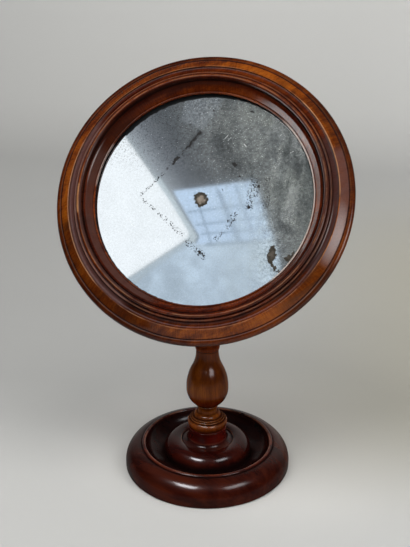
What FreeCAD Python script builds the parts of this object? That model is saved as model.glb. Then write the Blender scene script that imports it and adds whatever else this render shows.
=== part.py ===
import FreeCAD, Part
import Sketcher
import os
import re

# Turned table mirror: a round moulded frame that tilts on a knuckle behind its centre, on a column
# that swivels in a baluster stem, on a dished base. Millimetres. The origin is on the table, on the
# axis of the stem, with +Z up and the mirror facing -Y.

# Every driving size: alias, value, what it is.
SIZES = [
    ("frame_radius", 121.15, "outside of the frame, at its widest line"),
    ("frame_clearance", 8.85, "upright frame's lowest edge to the foot of the column"),
    ("base_radius", 75.5, "outside of the base"),
    ("tilt_back", 32.65, "lean of the mirror away from upright, degrees"),
    ("glue_gap", 0.05, "radial gap of fixed tenons and screws in their holes"),
    ("running_gap", 0.08, "radial gap of turning shafts in their bores"),
    ("face_gap", 0.05, "gap between flat faces that turn on each other"),
    ("rebate_gap", 0.5, "radial gap round the glass and the backboard"),
    ("end_gap", 0.6, "gap past the end of a tenon in its blind hole"),

    ("pad_thickness", 1.5, "baize under the base"),
    ("pad_proud", 0.5, "how far the baize lifts the base off the table"),
    ("pad_margin", 9.2, "bare rim of the base round the baize"),
    ("pad_gap", 0.3, "radial gap round the baize in its recess"),

    ("boss_radius", 17.0, "boss that carries the stem"),
    ("boss_height", 37.5, "underside of the base to the stem's seat"),
    ("boss_bead_height", 1.4, "bead at the top of the boss"),
    ("boss_bead_bulge", 0.5, "swell of that bead"),
    ("cavetto_width", 5.6, "hollow round the foot of the boss"),
    ("cavetto_rise", 4.5, "height of that hollow"),
    ("cavetto_sag", 1.3, "depth of that hollow"),
    ("ring_width", 1.0, "flat ring inside the cushion"),
    ("ring_drop", 0.9, "step from the cushion down to that ring"),
    ("cushion_width", 16.2, "cushion moulding round the boss"),
    ("cushion_rise", 11.2, "height of its curve"),
    ("cushion_bulge", 5.75, "swell of its curve"),
    ("cushion_side", 3.0, "upright edge under its curve"),
    ("quirk_width", 1.2, "narrow flat between cushion and channel"),
    ("channel_depth", 11.4, "depth of the dished channel below the rim"),
    ("channel_sag", 3.2, "hollow of the channel's curve"),
    ("rim_width", 3.6, "bead on the rim"),
    ("rim_bulge", 1.2, "swell of the rim's bead"),
    ("rim_step", 0.6, "step up from the ovolo to the rim"),
    ("base_ovolo_width", 15.1, "rounded edge of the base"),
    ("base_ovolo_rise", 16.6, "height of that edge"),
    ("base_ovolo_bulge", 4.6, "swell of that edge"),
    ("base_side", 3.0, "upright side under the ovolo"),
    ("base_corner", 1.0, "rounded lower corner"),

    ("tenon_radius", 8.0, "tenon of the stem in the base"),
    ("stem_screw_radius", 2.1, "screw up into the tenon"),
    ("stem_screw_bite", 15.0, "length of the screw inside the tenon"),
    ("stem_screw_head_radius", 4.5, "head of that screw"),
    ("stem_screw_head_height", 3.0, "height of that head"),
    ("stem_washer_radius", 7.0, "washer under the head"),
    ("stem_washer_thickness", 1.0, "thickness of that washer"),
    ("counterbore_radius", 8.0, "recess for head and washer"),
    ("counterbore_depth", 4.5, "depth of that recess above the baize"),
    ("socket_web", 5.8, "wood between that recess and the socket of the tenon"),

    ("foot_radius", 16.3, "foot of the stem"),
    ("foot_gap", 1.3, "plain stretch under the foot bead"),
    ("foot_bead_height", 6.9, "large bead at the foot"),
    ("foot_bead_bulge", 1.8, "swell of that bead"),
    ("lower_reed_radius", 15.6, "lower reed above the foot bead"),
    ("lower_reed_height", 1.4, "height of the lower reed"),
    ("upper_reed_radius", 14.1, "upper reed"),
    ("upper_reed_height", 1.4, "height of the upper reed"),
    ("reed_inset", 0.9, "how far each reed draws in towards its top"),
    ("reed_bulge", 0.5, "swell of both reeds"),
    ("shoulder_radius", 12.2, "rounded shoulder above the reeds"),
    ("shoulder_inset", 2.6, "how far the shoulder draws in"),
    ("shoulder_height", 3.6, "height of the shoulder"),
    ("shoulder_bulge", 0.75, "swell of the shoulder"),
    ("lower_neck_radius", 9.0, "ends of the hollow neck under the bulb"),
    ("lower_neck_height", 6.2, "height of that neck"),
    ("lower_neck_sag", 0.6, "hollow of that neck"),
    ("waist_radius", 9.7, "ring between neck and bulb"),
    ("waist_height", 1.4, "height of that ring"),
    ("waist_bulge", 0.35, "swell of that ring"),
    ("bulb_foot_radius", 9.6, "lower end of the bulb"),
    ("bulb_radius", 19.0, "bulb at its widest"),
    ("bulb_lower_height", 17.1, "lower half of the bulb"),
    ("bulb_lower_bulge", 2.75, "swell of the lower half"),
    ("flare_radius", 13.8, "where the bulb turns into the neck"),
    ("bulb_upper_height", 21.3, "upper half of the bulb"),
    ("bulb_upper_bulge", 1.42, "swell of the upper half"),
    ("neck_radius", 10.15, "neck of the stem"),
    ("flare_height", 13.9, "hollow flare from bulb to neck"),
    ("flare_sag", 0.85, "hollow of that flare"),
    ("neck_land", 1.85, "plain stretch at the top of the neck"),

    ("swivel_washer_thickness", 0.8, "leather washer on top of the stem"),
    ("swivel_washer_inset", 0.5, "how far the washer lies inside the neck"),
    ("pintle_radius", 6.0, "round end of the column in the stem's bore"),
    ("pintle_length", 34.0, "length of that end"),
    ("collar_radius", 10.45, "collar at the foot of the column"),
    ("collar_height", 4.0, "height of the collar"),
    ("collar_bulge", 0.5, "swell of the collar"),
    ("collar_cove_height", 5.0, "hollow from collar to shaft"),
    ("collar_cove_sag", 0.8, "depth of that hollow"),
    ("shaft_lower_radius", 8.2, "shaft at its foot"),
    ("shaft_upper_radius", 7.2, "shaft at its top"),
    ("cap_height", 7.0, "flare from shaft to shoulder"),
    ("cap_sag", 0.7, "hollow of that flare"),
    ("knuckle_radius", 8.5, "rounded ends of tongue and cheeks, and the shoulder"),
    ("shoulder_drop", 11.0, "tilt axis down to the column's shoulder"),
    ("tongue_thickness", 9.0, "tongue at the top of the column"),

    ("back_offset", 15.4, "tilt axis to the back face of the frame"),
    ("lip_height", 2.2, "edge of the lip in front of the glass"),
    ("ovolo_width", 6.3, "quarter round next to the glass"),
    ("ovolo_rise", 7.2, "height of the quarter round"),
    ("ovolo_bulge", 1.7, "swell of the quarter round"),
    ("inner_quirk_width", 0.4, "sunk line between ovolo and crest"),
    ("inner_quirk_depth", 0.5, "depth of that line"),
    ("crest_side_width", 0.9, "lean of the crest's inner side"),
    ("crest_side_rise", 3.0, "height of the crest's inner side"),
    ("crest_width", 4.0, "crest bead, the highest member"),
    ("crest_bulge", 2.1, "swell of the crest bead"),
    ("crest_drop", 0.2, "outer foot of the crest below its inner foot"),
    ("groove_side_width", 0.5, "outer side of the crest, down to the groove"),
    ("groove_depth", 2.0, "depth of the groove outside the crest"),
    ("groove_floor", 0.3, "floor of that groove"),
    ("frame_reed_width", 2.0, "reed outside the crest"),
    ("frame_reed_bulge", 0.8, "swell of that reed"),
    ("reed_side_width", 0.3, "outer side of the reed"),
    ("reed_side_drop", 0.9, "height of that side"),
    ("cove_width", 4.9, "cove between reed and band"),
    ("cove_sag", 0.9, "hollow of the cove"),
    ("land_rise", 1.0, "step from the cove up to the land"),
    ("land_width", 0.5, "narrow land at the inner edge of the band"),
    ("band_width", 6.9, "sloped band"),
    ("band_drop", 4.8, "fall of the band"),
    ("band_bulge", 0.25, "crown of the band"),
    ("outer_quirk_width", 0.4, "sunk line between band and outer bead"),
    ("outer_quirk_depth", 0.9, "depth of that line"),
    ("outer_bead_width", 4.75, "outer bead"),
    ("outer_bead_front", 3.2, "front half of the outer bead"),
    ("outer_bead_back", 3.3, "back half of the outer bead"),
    ("outer_bead_bulge", 1.25, "swell of each half"),
    ("back_inset", 5.6, "outer edge of the back face inside the outer bead"),
    ("bead_root", 4.3, "outer bead's root behind its widest line"),

    ("glass_lap", 7.0, "rebate for the glass behind the lip"),
    ("glass_thickness", 3.0, "looking-glass"),
    ("glass_bevel", 0.6, "ground arris of the glass"),
    ("paper_thickness", 0.4, "paper behind the glass"),
    ("board_ledge", 10.0, "ledge that the backboard is screwed to"),
    ("board_thickness", 6.0, "backboard"),
    ("board_recess", 1.3, "backboard below the frame's back face"),
    ("board_corner", 1.0, "rounded back edge of the backboard"),

    ("board_screw_count", 6, "screws round the backboard"),
    ("board_screw_bearing", 30.0, "bearing of the first, degrees"),
    ("board_screw_radius", 1.4, "shank of those screws"),
    ("board_screw_bite", 5.5, "length of the shank in the frame"),
    ("board_screw_head_radius", 2.9, "their round heads"),
    ("board_screw_head_height", 1.2, "height of those heads"),

    ("flange_radius", 26.0, "round plate of the yoke"),
    ("flange_thickness", 5.0, "thickness of that plate"),
    ("flange_edge", 2.0, "upright edge of the plate"),
    ("flange_round", 0.9, "swell of the plate's rounded back edge"),
    ("flange_round_width", 4.0, "width of that rounded edge"),
    ("cheek_thickness", 6.0, "each cheek of the yoke"),
    ("yoke_screw_count", 4, "screws in the yoke's plate"),
    ("yoke_screw_circle", 19.0, "radius of the circle that they stand on"),
    ("yoke_screw_bearing", 45.0, "bearing of the first, degrees"),
    ("yoke_screw_radius", 1.5, "shank of those screws"),
    ("yoke_screw_bite", 4.5, "length of the shank in the backboard"),
    ("yoke_screw_head_radius", 3.0, "their round heads"),
    ("yoke_screw_head_height", 1.6, "height of those heads"),

    ("friction_radius", 7.5, "leather washers beside the tongue"),
    ("friction_thickness", 0.8, "thickness of those washers"),
    ("bolt_radius", 2.5, "pivot bolt"),
    ("bolt_head_radius", 5.2, "its domed head"),
    ("bolt_head_height", 2.6, "height of the dome"),
    ("bolt_end", 1.5, "bolt past the nut"),
    ("bolt_washer_radius", 6.0, "brass washers outside the cheeks"),
    ("bolt_washer_thickness", 0.8, "thickness of those washers"),
    ("nut_radius", 7.5, "thumb nut"),
    ("nut_thickness", 5.0, "gripped part of the nut"),
    ("nut_collar_radius", 5.0, "collar of the nut next to the washer"),
    ("nut_collar_height", 2.0, "height of that collar"),
    ("nut_flute_count", 16, "flutes round the nut"),
    ("nut_flute_radius", 0.8, "radius of each flute"),
]

doc = FreeCAD.newDocument("TableMirror")
sheet = doc.addObject("Spreadsheet::Sheet", "Sizes")
for row, (alias, number, note) in enumerate(SIZES, start=1):
    sheet.set(f"A{row}", note)
    sheet.set(f"B{row}", str(number))
    sheet.setAlias(f"B{row}", alias)
doc.recompute()

ALIASES = {alias for alias, number, note in SIZES}
SUBPARTS = {}
SAME_PLACE = 1e-6


# Turns a formula in bare size names into one that reads the sheet.
def bind(formula):
    return re.sub(r"[a-z_]+", lambda word: f"Sizes.{word[0]}" if word[0] in ALIASES else word[0], formula)


def value(formula):
    return float(sheet.evalExpression(bind(formula)))


# A closed outline, drawn from corner to corner. A stretch with a bulge is an arc that swells that far
# to the right of the way along, or to the left where the bulge is negative.
class Outline:
    def __init__(self, across, up):
        self.corners = [(across, up)]
        self.stretches = []

    def to(self, across=None, up=None, bulge=None):
        last_across, last_up = self.corners[-1]
        corner = (across or last_across, up or last_up)
        self.corners.append(corner)
        self.stretches.append((f"{corner[0]} - ({last_across})", f"{corner[1]} - ({last_up})", bulge))
        return self

    def step(self, across="0", up="0", bulge=None):
        last_across, last_up = self.corners[-1]
        self.corners.append((f"{last_across} + {across}", f"{last_up} + {up}"))
        self.stretches.append((across, up, bulge))
        return self


def origin_feature(body, role):
    return next(feature for feature in body.Origin.OriginFeatures if feature.Role == role)


def new_sketch(body, plane):
    sketch = body.newObject("Sketcher::SketchObject", f"{body.Name}_sketch")
    sketch.AttachmentSupport = (origin_feature(body, plane), [""])
    sketch.MapMode = "FlatFace"
    return sketch


# Holds one coordinate of a sketch point at a formula's value.
def hold(sketch, kind, axis, point, formula):
    size = value(formula)
    if abs(size) < SAME_PLACE:
        sketch.addConstraint(Sketcher.Constraint("PointOnObject", *point, axis))
    elif size > 0:
        number = sketch.addConstraint(Sketcher.Constraint(kind, -1, 1, *point, size))
        sketch.setExpression(f"Constraints[{number}]", bind(formula))
    else:
        number = sketch.addConstraint(Sketcher.Constraint(kind, *point, -1, 1, -size))
        sketch.setExpression(f"Constraints[{number}]", bind(f"-({formula})"))


def hold_point(sketch, point, across, up):
    hold(sketch, "DistanceX", -2, point, across)
    hold(sketch, "DistanceY", -1, point, up)


def arc_between(start, end, bulge):
    chord = end - start
    side = FreeCAD.Vector(chord.y, -chord.x, 0).normalize()
    return Part.Arc(start, (start + end) * 0.5 + side * bulge, end)


# Draws an outline as a sketch with a formula behind every corner and arc.
def draw(body, plane, outline):
    sketch = new_sketch(body, plane)
    places = [FreeCAD.Vector(value(across), value(up), 0) for across, up in outline.corners]
    outline.to(*outline.corners[0])
    ends = []
    for index, (across, up, bulge) in enumerate(outline.stretches):
        start = places[index]
        end = places[(index + 1) % len(places)]
        if bulge is None:
            edge = sketch.addGeometry(Part.LineSegment(start, end))
        else:
            edge = sketch.addGeometry(arc_between(start, end, value(bulge)))
        first = 1 if sketch.getPoint(edge, 1).distanceToPoint(start) < SAME_PLACE else 2
        ends.append(((edge, first), (edge, 3 - first)))
    for index, (across, up, bulge) in enumerate(outline.stretches):
        sketch.addConstraint(Sketcher.Constraint("Coincident", *ends[index - 1][1], *ends[index][0]))
        hold_point(sketch, ends[index][0], *outline.corners[index])
        if bulge is not None:
            radius = f"(({across})^2 + ({up})^2) / (8 * abs({bulge})) + abs({bulge}) / 2"
            number = sketch.addConstraint(Sketcher.Constraint("Radius", index, value(radius)))
            sketch.setExpression(f"Constraints[{number}]", bind(radius))
    return sketch


def new_body(name):
    body = doc.addObject("PartDesign::Body", name)
    body.Label = name
    SUBPARTS[name] = body
    return body


# Turns an outline about the body's Z axis, or about a line parallel to it at a given radius, where
# the plane of the outline stands at a given bearing round Z.
def turn(body, outline, about=None, bearing="0"):
    sketch = draw(body, "XZ_Plane", outline)
    axis = "V_Axis"
    if about is not None:
        turned = FreeCAD.Rotation(FreeCAD.Vector(0, 1, 0), value(bearing))
        sketch.AttachmentOffset = FreeCAD.Placement(FreeCAD.Vector(), turned)
        sketch.setExpression("AttachmentOffset.Rotation.Angle", bind(bearing))
        foot = FreeCAD.Vector(value(about), 0, 0)
        line = sketch.addGeometry(Part.LineSegment(foot, foot + FreeCAD.Vector(0, 1, 0)), True)
        hold_point(sketch, (line, 1), about, "0")
        hold_point(sketch, (line, 2), about, "1")
        axis = "Axis0"
    solid = body.newObject("PartDesign::Revolution", f"{body.Name}_turning")
    solid.Profile = sketch
    solid.ReferenceAxis = (sketch, [axis])
    solid.Angle = 360
    doc.recompute()
    return solid


# Pads or pockets a sketch by the same amount to both sides of its plane.
def extrude_both_ways(body, kind, sketch, length):
    feature = body.newObject(f"PartDesign::{kind}", f"{body.Name}_{kind.lower()}")
    feature.Profile = sketch
    feature.SideType = "Symmetric"
    feature.setExpression("Length", bind(length))
    doc.recompute()
    return feature


def circle_sketch(body, plane, across, up, radius):
    sketch = new_sketch(body, plane)
    centre = FreeCAD.Vector(value(across), value(up), 0)
    edge = sketch.addGeometry(Part.Circle(centre, FreeCAD.Vector(0, 0, 1), value(radius)))
    hold_point(sketch, (edge, 3), across, up)
    number = sketch.addConstraint(Sketcher.Constraint("Radius", edge, value(radius)))
    sketch.setExpression(f"Constraints[{number}]", bind(radius))
    return sketch


# Repeats a feature round the body's Z axis.
def repeat_round(body, feature, count):
    pattern = body.newObject("PartDesign::PolarPattern", f"{feature.Name}_pattern")
    pattern.Originals = [feature]
    pattern.Axis = (origin_feature(body, "Z_Axis"), [""])
    pattern.Angle = 360
    pattern.setExpression("Occurrences", bind(count))
    body.Tip = pattern
    doc.recompute()
    return pattern


# Cuts a ring of round holes, from the body's own XY plane up to a given height.
def drill_ring(body, circle, bearing, radius, height, count):
    before = body.Shape.Volume
    hole = body.newObject("PartDesign::Pocket", f"{body.Name}_hole")
    hole.Profile = circle_sketch(body, "XY_Plane", f"({circle}) * cos({bearing})",
                                 f"({circle}) * sin({bearing})", radius)
    hole.Reversed = True
    hole.setExpression("Length", bind(height))
    doc.recompute()
    repeat_round(body, hole, count)
    if body.Shape.Volume > before - 1:
        raise RuntimeError(f"{body.Label}: the holes cut nothing")


# Repeats a body's last feature on the other side of its XY plane, as a second solid.
def mirror_across(body, feature):
    twin = body.newObject("PartDesign::Mirrored", f"{body.Name}_twin")
    twin.Originals = [feature]
    twin.MirrorPlane = (origin_feature(body, "XY_Plane"), [""])
    body.Tip = twin
    doc.recompute()


# Heights above the table on the stand.
UNDERSIDE = "pad_proud"
SEAT = f"{UNDERSIDE} + boss_height"
COUNTERBORE_TOP = "pad_thickness + counterbore_depth"
SOCKET_FLOOR = f"{COUNTERBORE_TOP} + socket_web"
TENON_END = f"{SOCKET_FLOOR} + end_gap"
BULB_FOOT = (f"{SEAT} + foot_gap + foot_bead_height + lower_reed_height + upper_reed_height"
             " + shoulder_height + lower_neck_height + waist_height")
STEM_TOP = f"{BULB_FOOT} + bulb_lower_height + bulb_upper_height + flare_height + neck_land"
COLUMN_FOOT = f"{STEM_TOP} + swivel_washer_thickness + face_gap"
BORE_FLOOR = f"{COLUMN_FOOT} - pintle_length - end_gap"
PIVOT = f"{COLUMN_FOOT} + frame_radius + frame_clearance"
COLUMN_SHOULDER = f"{PIVOT} - shoulder_drop"

# Across the base: the channel takes what the mouldings on both sides of it leave.
CHANNEL_INNER = "boss_radius + cavetto_width + ring_width + cushion_width + quirk_width"
CHANNEL_WIDTH = f"base_radius - base_ovolo_width - rim_width - ({CHANNEL_INNER})"
PAD_RADIUS = "base_radius - pad_margin"

# Across the frame: the sight edge lies inside all the members of the section.
SECTION_WIDTH = ("ovolo_width + inner_quirk_width + crest_side_width + crest_width + groove_side_width"
                 " + groove_floor + frame_reed_width + reed_side_width + cove_width + land_width"
                 " + band_width + outer_quirk_width + outer_bead_width")
LIP_RADIUS = f"frame_radius - ({SECTION_WIDTH})"

# Distances in front of the tilt axis on the mirror, and radii about its centre.
BOARD_BACK = "back_offset + board_recess"
PAPER_BACK = f"{BOARD_BACK} + board_thickness"
GLASS_BACK = f"{PAPER_BACK} + paper_thickness"
SHELF = f"{GLASS_BACK} + glass_thickness"
FLANGE_BACK = f"{BOARD_BACK} - flange_thickness"
GLASS_REBATE = f"{LIP_RADIUS} + glass_lap"
BOARD_REBATE = f"{GLASS_REBATE} + board_ledge"
BOARD_SCREW_CIRCLE = f"{GLASS_REBATE} + board_ledge / 2"

# Distances along the tilt axis from the middle of the tongue.
YOKE_GAP = "tongue_thickness + 2 * (face_gap + friction_thickness)"
YOKE_WIDTH = f"{YOKE_GAP} + 2 * cheek_thickness"
BOLT_SEAT = f"({YOKE_WIDTH}) / 2 + bolt_washer_thickness"

# How far a quarter circle swells beyond its chord, per unit of radius.
QUARTER = "(1 - sqrt(0.5))"


def make_base():
    body = new_body("base")
    bore = "stem_screw_radius + glue_gap"
    socket = "tenon_radius + glue_gap"
    edge = Outline(bore, COUNTERBORE_TOP)
    edge.to("counterbore_radius").to(up="pad_thickness")
    edge.to(f"{PAD_RADIUS} + pad_gap").to(up=UNDERSIDE)
    edge.to("base_radius - base_corner")
    edge.step("base_corner", "base_corner", f"base_corner * {QUARTER}")
    edge.step(up="base_side")
    edge.step("-base_ovolo_width", "base_ovolo_rise", "base_ovolo_bulge")
    edge.step(up="rim_step")
    edge.step("-rim_width", "0", "rim_bulge")
    edge.step(f"-({CHANNEL_WIDTH})", "-channel_depth", "-channel_sag")
    edge.step("-quirk_width")
    edge.step(up="cushion_side")
    edge.step("-cushion_width", "cushion_rise", "cushion_bulge")
    edge.step(up="-ring_drop")
    edge.step("-ring_width")
    edge.step("-cavetto_width", "cavetto_rise", "-cavetto_sag")
    edge.to(up=f"{SEAT} - boss_bead_height")
    edge.to(up=SEAT, bulge="boss_bead_bulge")
    edge.to(socket).to(up=SOCKET_FLOOR).to(bore)
    turn(body, edge)


def make_base_pad():
    body = new_body("base_pad")
    disc = Outline("0", "0").to(PAD_RADIUS).to(up="pad_thickness").to("0")
    turn(body, disc)


def make_stem_screw():
    body = new_body("stem_screw")
    head_top = f"{COUNTERBORE_TOP} - stem_washer_thickness"
    shank_top = f"{TENON_END} + stem_screw_bite"
    screw = Outline("0", f"{head_top} - stem_screw_head_height")
    screw.to("stem_screw_head_radius").to(up=head_top).to("stem_screw_radius")
    screw.to(up=f"{shank_top} - 2 * stem_screw_radius").to("0", shank_top)
    turn(body, screw)


def make_stem_washer():
    body = new_body("stem_washer")
    ring = Outline("stem_screw_radius + glue_gap", f"{COUNTERBORE_TOP} - stem_washer_thickness")
    ring.to("stem_washer_radius").step(up="stem_washer_thickness").to("stem_screw_radius + glue_gap")
    turn(body, ring)


def make_stem():
    body = new_body("stem")
    pilot = "stem_screw_radius + glue_gap"
    bore = "pintle_radius + running_gap"
    side = Outline(pilot, TENON_END)
    side.to("tenon_radius").to(up=SEAT).to("foot_radius")
    side.step(up="foot_gap")
    side.step(up="foot_bead_height", bulge="foot_bead_bulge")
    side.to("lower_reed_radius")
    side.step("-reed_inset", "lower_reed_height", "reed_bulge")
    side.to("upper_reed_radius")
    side.step("-reed_inset", "upper_reed_height", "reed_bulge")
    side.to("shoulder_radius")
    side.step("-shoulder_inset", "shoulder_height", "shoulder_bulge")
    side.to("lower_neck_radius")
    side.step(up="lower_neck_height", bulge="-lower_neck_sag")
    side.to("waist_radius")
    side.step(up="waist_height", bulge="waist_bulge")
    side.to("bulb_foot_radius")
    side.to("bulb_radius", f"{BULB_FOOT} + bulb_lower_height", "bulb_lower_bulge")
    side.to("flare_radius", f"{BULB_FOOT} + bulb_lower_height + bulb_upper_height", "bulb_upper_bulge")
    side.to("neck_radius", f"{STEM_TOP} - neck_land", "-flare_sag")
    side.to(up=STEM_TOP).to(bore).to(up=BORE_FLOOR).to("0")
    side.to(up=f"{TENON_END} + stem_screw_bite + end_gap").to(pilot)
    turn(body, side)


def make_swivel_washer():
    body = new_body("swivel_washer")
    ring = Outline("pintle_radius + running_gap", STEM_TOP)
    ring.to("neck_radius - swivel_washer_inset").step(up="swivel_washer_thickness")
    ring.to("pintle_radius + running_gap")
    turn(body, ring)


# The rounded end of tongue and cheeks, seen along the tilt axis: flat sides that run from a root to a
# round nose about the axis, on the side away from the root.
def knuckle_outline(centre, root, away):
    bulge = f"{away}knuckle_radius * {QUARTER}"
    outline = Outline("knuckle_radius", root)
    outline.to(up=centre).to("0", f"{centre} {away} knuckle_radius", bulge)
    outline.to("-knuckle_radius", centre, bulge).to(up=root)
    return outline


def make_column():
    body = new_body("column")
    side = Outline("0", f"{COLUMN_FOOT} - pintle_length")
    side.to("pintle_radius").to(up=COLUMN_FOOT).to("collar_radius")
    side.step(up="collar_height", bulge="collar_bulge")
    side.to("shaft_lower_radius", f"{COLUMN_FOOT} + collar_height + collar_cove_height", "-collar_cove_sag")
    side.to("shaft_upper_radius", f"{COLUMN_SHOULDER} - cap_height")
    side.to("knuckle_radius", COLUMN_SHOULDER, "-cap_sag")
    side.to("0")
    turn(body, side)
    tongue = draw(body, "YZ_Plane", knuckle_outline(PIVOT, COLUMN_SHOULDER, "+"))
    extrude_both_ways(body, "Pad", tongue, "tongue_thickness")
    eye = circle_sketch(body, "YZ_Plane", "0", PIVOT, "bolt_radius + running_gap")
    extrude_both_ways(body, "Pocket", eye, "tongue_thickness + 2 * knuckle_radius")


# Pieces of the mirror are drawn about the tilt axis, with Z towards the viewer's side, and then
# leant back together.
def lean_back(body):
    body.Placement = FreeCAD.Placement(FreeCAD.Vector(0, 0, value(PIVOT)),
                                       FreeCAD.Rotation(FreeCAD.Vector(1, 0, 0), 90 - value("tilt_back")))
    body.setExpression("Placement.Base.z", bind(PIVOT))
    body.setExpression("Placement.Rotation.Angle", bind("90 - tilt_back"))


def make_frame():
    body = new_body("frame")
    section = Outline(LIP_RADIUS, SHELF)
    section.step(up="lip_height")
    section.step("ovolo_width", "ovolo_rise", "-ovolo_bulge")
    section.step("inner_quirk_width", "-inner_quirk_depth")
    section.step("crest_side_width", "crest_side_rise")
    section.step("crest_width", "-crest_drop", "-crest_bulge")
    section.step("groove_side_width", "-groove_depth")
    section.step("groove_floor")
    section.step("frame_reed_width", "0", "-frame_reed_bulge")
    section.step("reed_side_width", "-reed_side_drop")
    section.step("cove_width", "0", "cove_sag")
    section.step(up="land_rise")
    section.step("land_width")
    section.step("band_width", "-band_drop", "-band_bulge")
    section.step("outer_quirk_width", "-outer_quirk_depth")
    section.step(up="outer_quirk_depth")
    section.step("outer_bead_width", "-outer_bead_front", "-outer_bead_bulge")
    section.step("-bead_root", "-outer_bead_back", "-outer_bead_bulge")
    section.step("bead_root - back_inset").to(up="back_offset")
    section.to(BOARD_REBATE).to(up=PAPER_BACK)
    section.to(GLASS_REBATE).to(up=SHELF)
    turn(body, section)
    drill_ring(body, BOARD_SCREW_CIRCLE, "board_screw_bearing", "board_screw_radius + glue_gap",
               f"{PAPER_BACK} + board_screw_bite + end_gap", "board_screw_count")
    lean_back(body)


def make_glass():
    body = new_body("glass")
    radius = f"{GLASS_REBATE} - rebate_gap"
    plate = Outline("0", GLASS_BACK).to(f"{radius} - glass_bevel")
    plate.step("glass_bevel", "glass_bevel").to(up=f"{SHELF} - glass_bevel")
    plate.step("-glass_bevel", "glass_bevel").to("0")
    turn(body, plate)
    lean_back(body)


def make_backing_paper():
    body = new_body("backing_paper")
    sheet_outline = Outline("0", PAPER_BACK).to(f"{GLASS_REBATE} - rebate_gap")
    sheet_outline.step(up="paper_thickness").to("0")
    turn(body, sheet_outline)
    lean_back(body)


def make_backboard():
    body = new_body("backboard")
    radius = f"{BOARD_REBATE} - rebate_gap"
    board = Outline("0", BOARD_BACK).to(f"{radius} - board_corner")
    board.step("board_corner", "board_corner", f"board_corner * {QUARTER}")
    board.to(up=PAPER_BACK).to("0")
    turn(body, board)
    drill_ring(body, BOARD_SCREW_CIRCLE, "board_screw_bearing", "board_screw_radius + glue_gap",
               PAPER_BACK, "board_screw_count")
    drill_ring(body, "yoke_screw_circle", "yoke_screw_bearing", "yoke_screw_radius + glue_gap",
               f"{BOARD_BACK} + yoke_screw_bite + end_gap", "yoke_screw_count")
    lean_back(body)


# A ring of round-headed screws, each driven forwards from a seat on the mirror's back.
def make_screw_ring(name, circle, seat, tip, kind):
    body = new_body(name)
    head = f"{kind}_head_radius"
    height = f"{kind}_head_height"
    shank = f"{kind}_radius"
    screw = Outline(circle, f"{seat} - {height}").to(f"{circle} + {shank}")
    screw.to(f"{circle} + {head}", seat, f"{height} / 4")
    screw.to(f"{circle} + {shank}").to(up=f"{tip} - 2 * {shank}").to(circle, tip)
    solid = turn(body, screw, circle, f"{kind}_bearing")
    repeat_round(body, solid, f"{kind}_count")
    lean_back(body)


def make_yoke():
    body = new_body("yoke")
    plate = Outline("0", FLANGE_BACK).to("flange_radius - flange_round_width")
    plate.to("flange_radius", f"{BOARD_BACK} - flange_edge", "flange_round")
    plate.to(up=BOARD_BACK).to("0")
    turn(body, plate)
    cheeks = draw(body, "YZ_Plane", knuckle_outline("0", f"{FLANGE_BACK} + flange_thickness / 2", "-"))
    extrude_both_ways(body, "Pad", cheeks, YOKE_WIDTH)
    slot = Outline("2 * knuckle_radius", "-2 * knuckle_radius").to(up=FLANGE_BACK)
    slot.to("-2 * knuckle_radius").to(up="-2 * knuckle_radius")
    extrude_both_ways(body, "Pocket", draw(body, "YZ_Plane", slot), YOKE_GAP)
    eye = circle_sketch(body, "YZ_Plane", "0", "0", "bolt_radius + glue_gap")
    extrude_both_ways(body, "Pocket", eye, f"{YOKE_WIDTH} + 2 * knuckle_radius")
    drill_ring(body, "yoke_screw_circle", "yoke_screw_bearing", "yoke_screw_radius + glue_gap",
               BOARD_BACK, "yoke_screw_count")
    lean_back(body)


# Pieces on the pivot bolt are drawn along its own axis and then laid along X at the pivot.
def lay_on_pivot(body):
    body.Placement = FreeCAD.Placement(FreeCAD.Vector(0, 0, value(PIVOT)),
                                       FreeCAD.Rotation(FreeCAD.Vector(0, 1, 0), 90))
    body.setExpression("Placement.Base.z", bind(PIVOT))


def make_pivot_bolt():
    body = new_body("pivot_bolt")
    end = f"{BOLT_SEAT} + nut_collar_height + nut_thickness + bolt_end"
    bolt = Outline("0", f"-({end})").to("bolt_radius").to(up=BOLT_SEAT).to("bolt_head_radius")
    bolt.to("bolt_radius", f"{BOLT_SEAT} + bolt_head_height", "bolt_head_height / 4").to("0")
    turn(body, bolt)
    lay_on_pivot(body)


def make_pivot_nut():
    body = new_body("pivot_nut")
    near = f"-({BOLT_SEAT})"
    rim = f"{near} - nut_collar_height"
    far = f"{rim} - nut_thickness"
    nut = Outline("bolt_radius + glue_gap", far).to("nut_radius").to(up=rim)
    nut.to("nut_collar_radius").to(up=near).to("bolt_radius + glue_gap")
    turn(body, nut)
    flute = body.newObject("PartDesign::Pocket", "nut_flute")
    flute.Profile = circle_sketch(body, "XY_Plane", "nut_radius", "0", "nut_flute_radius")
    flute.setExpression("Length", bind(f"-({far})"))
    doc.recompute()
    repeat_round(body, flute, "nut_flute_count")
    lay_on_pivot(body)


def make_washer_pair(name, inner, outer, near, thickness):
    body = new_body(name)
    ring = Outline(inner, near).to(outer).step(up=thickness).to(inner)
    mirror_across(body, turn(body, ring))
    lay_on_pivot(body)


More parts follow.
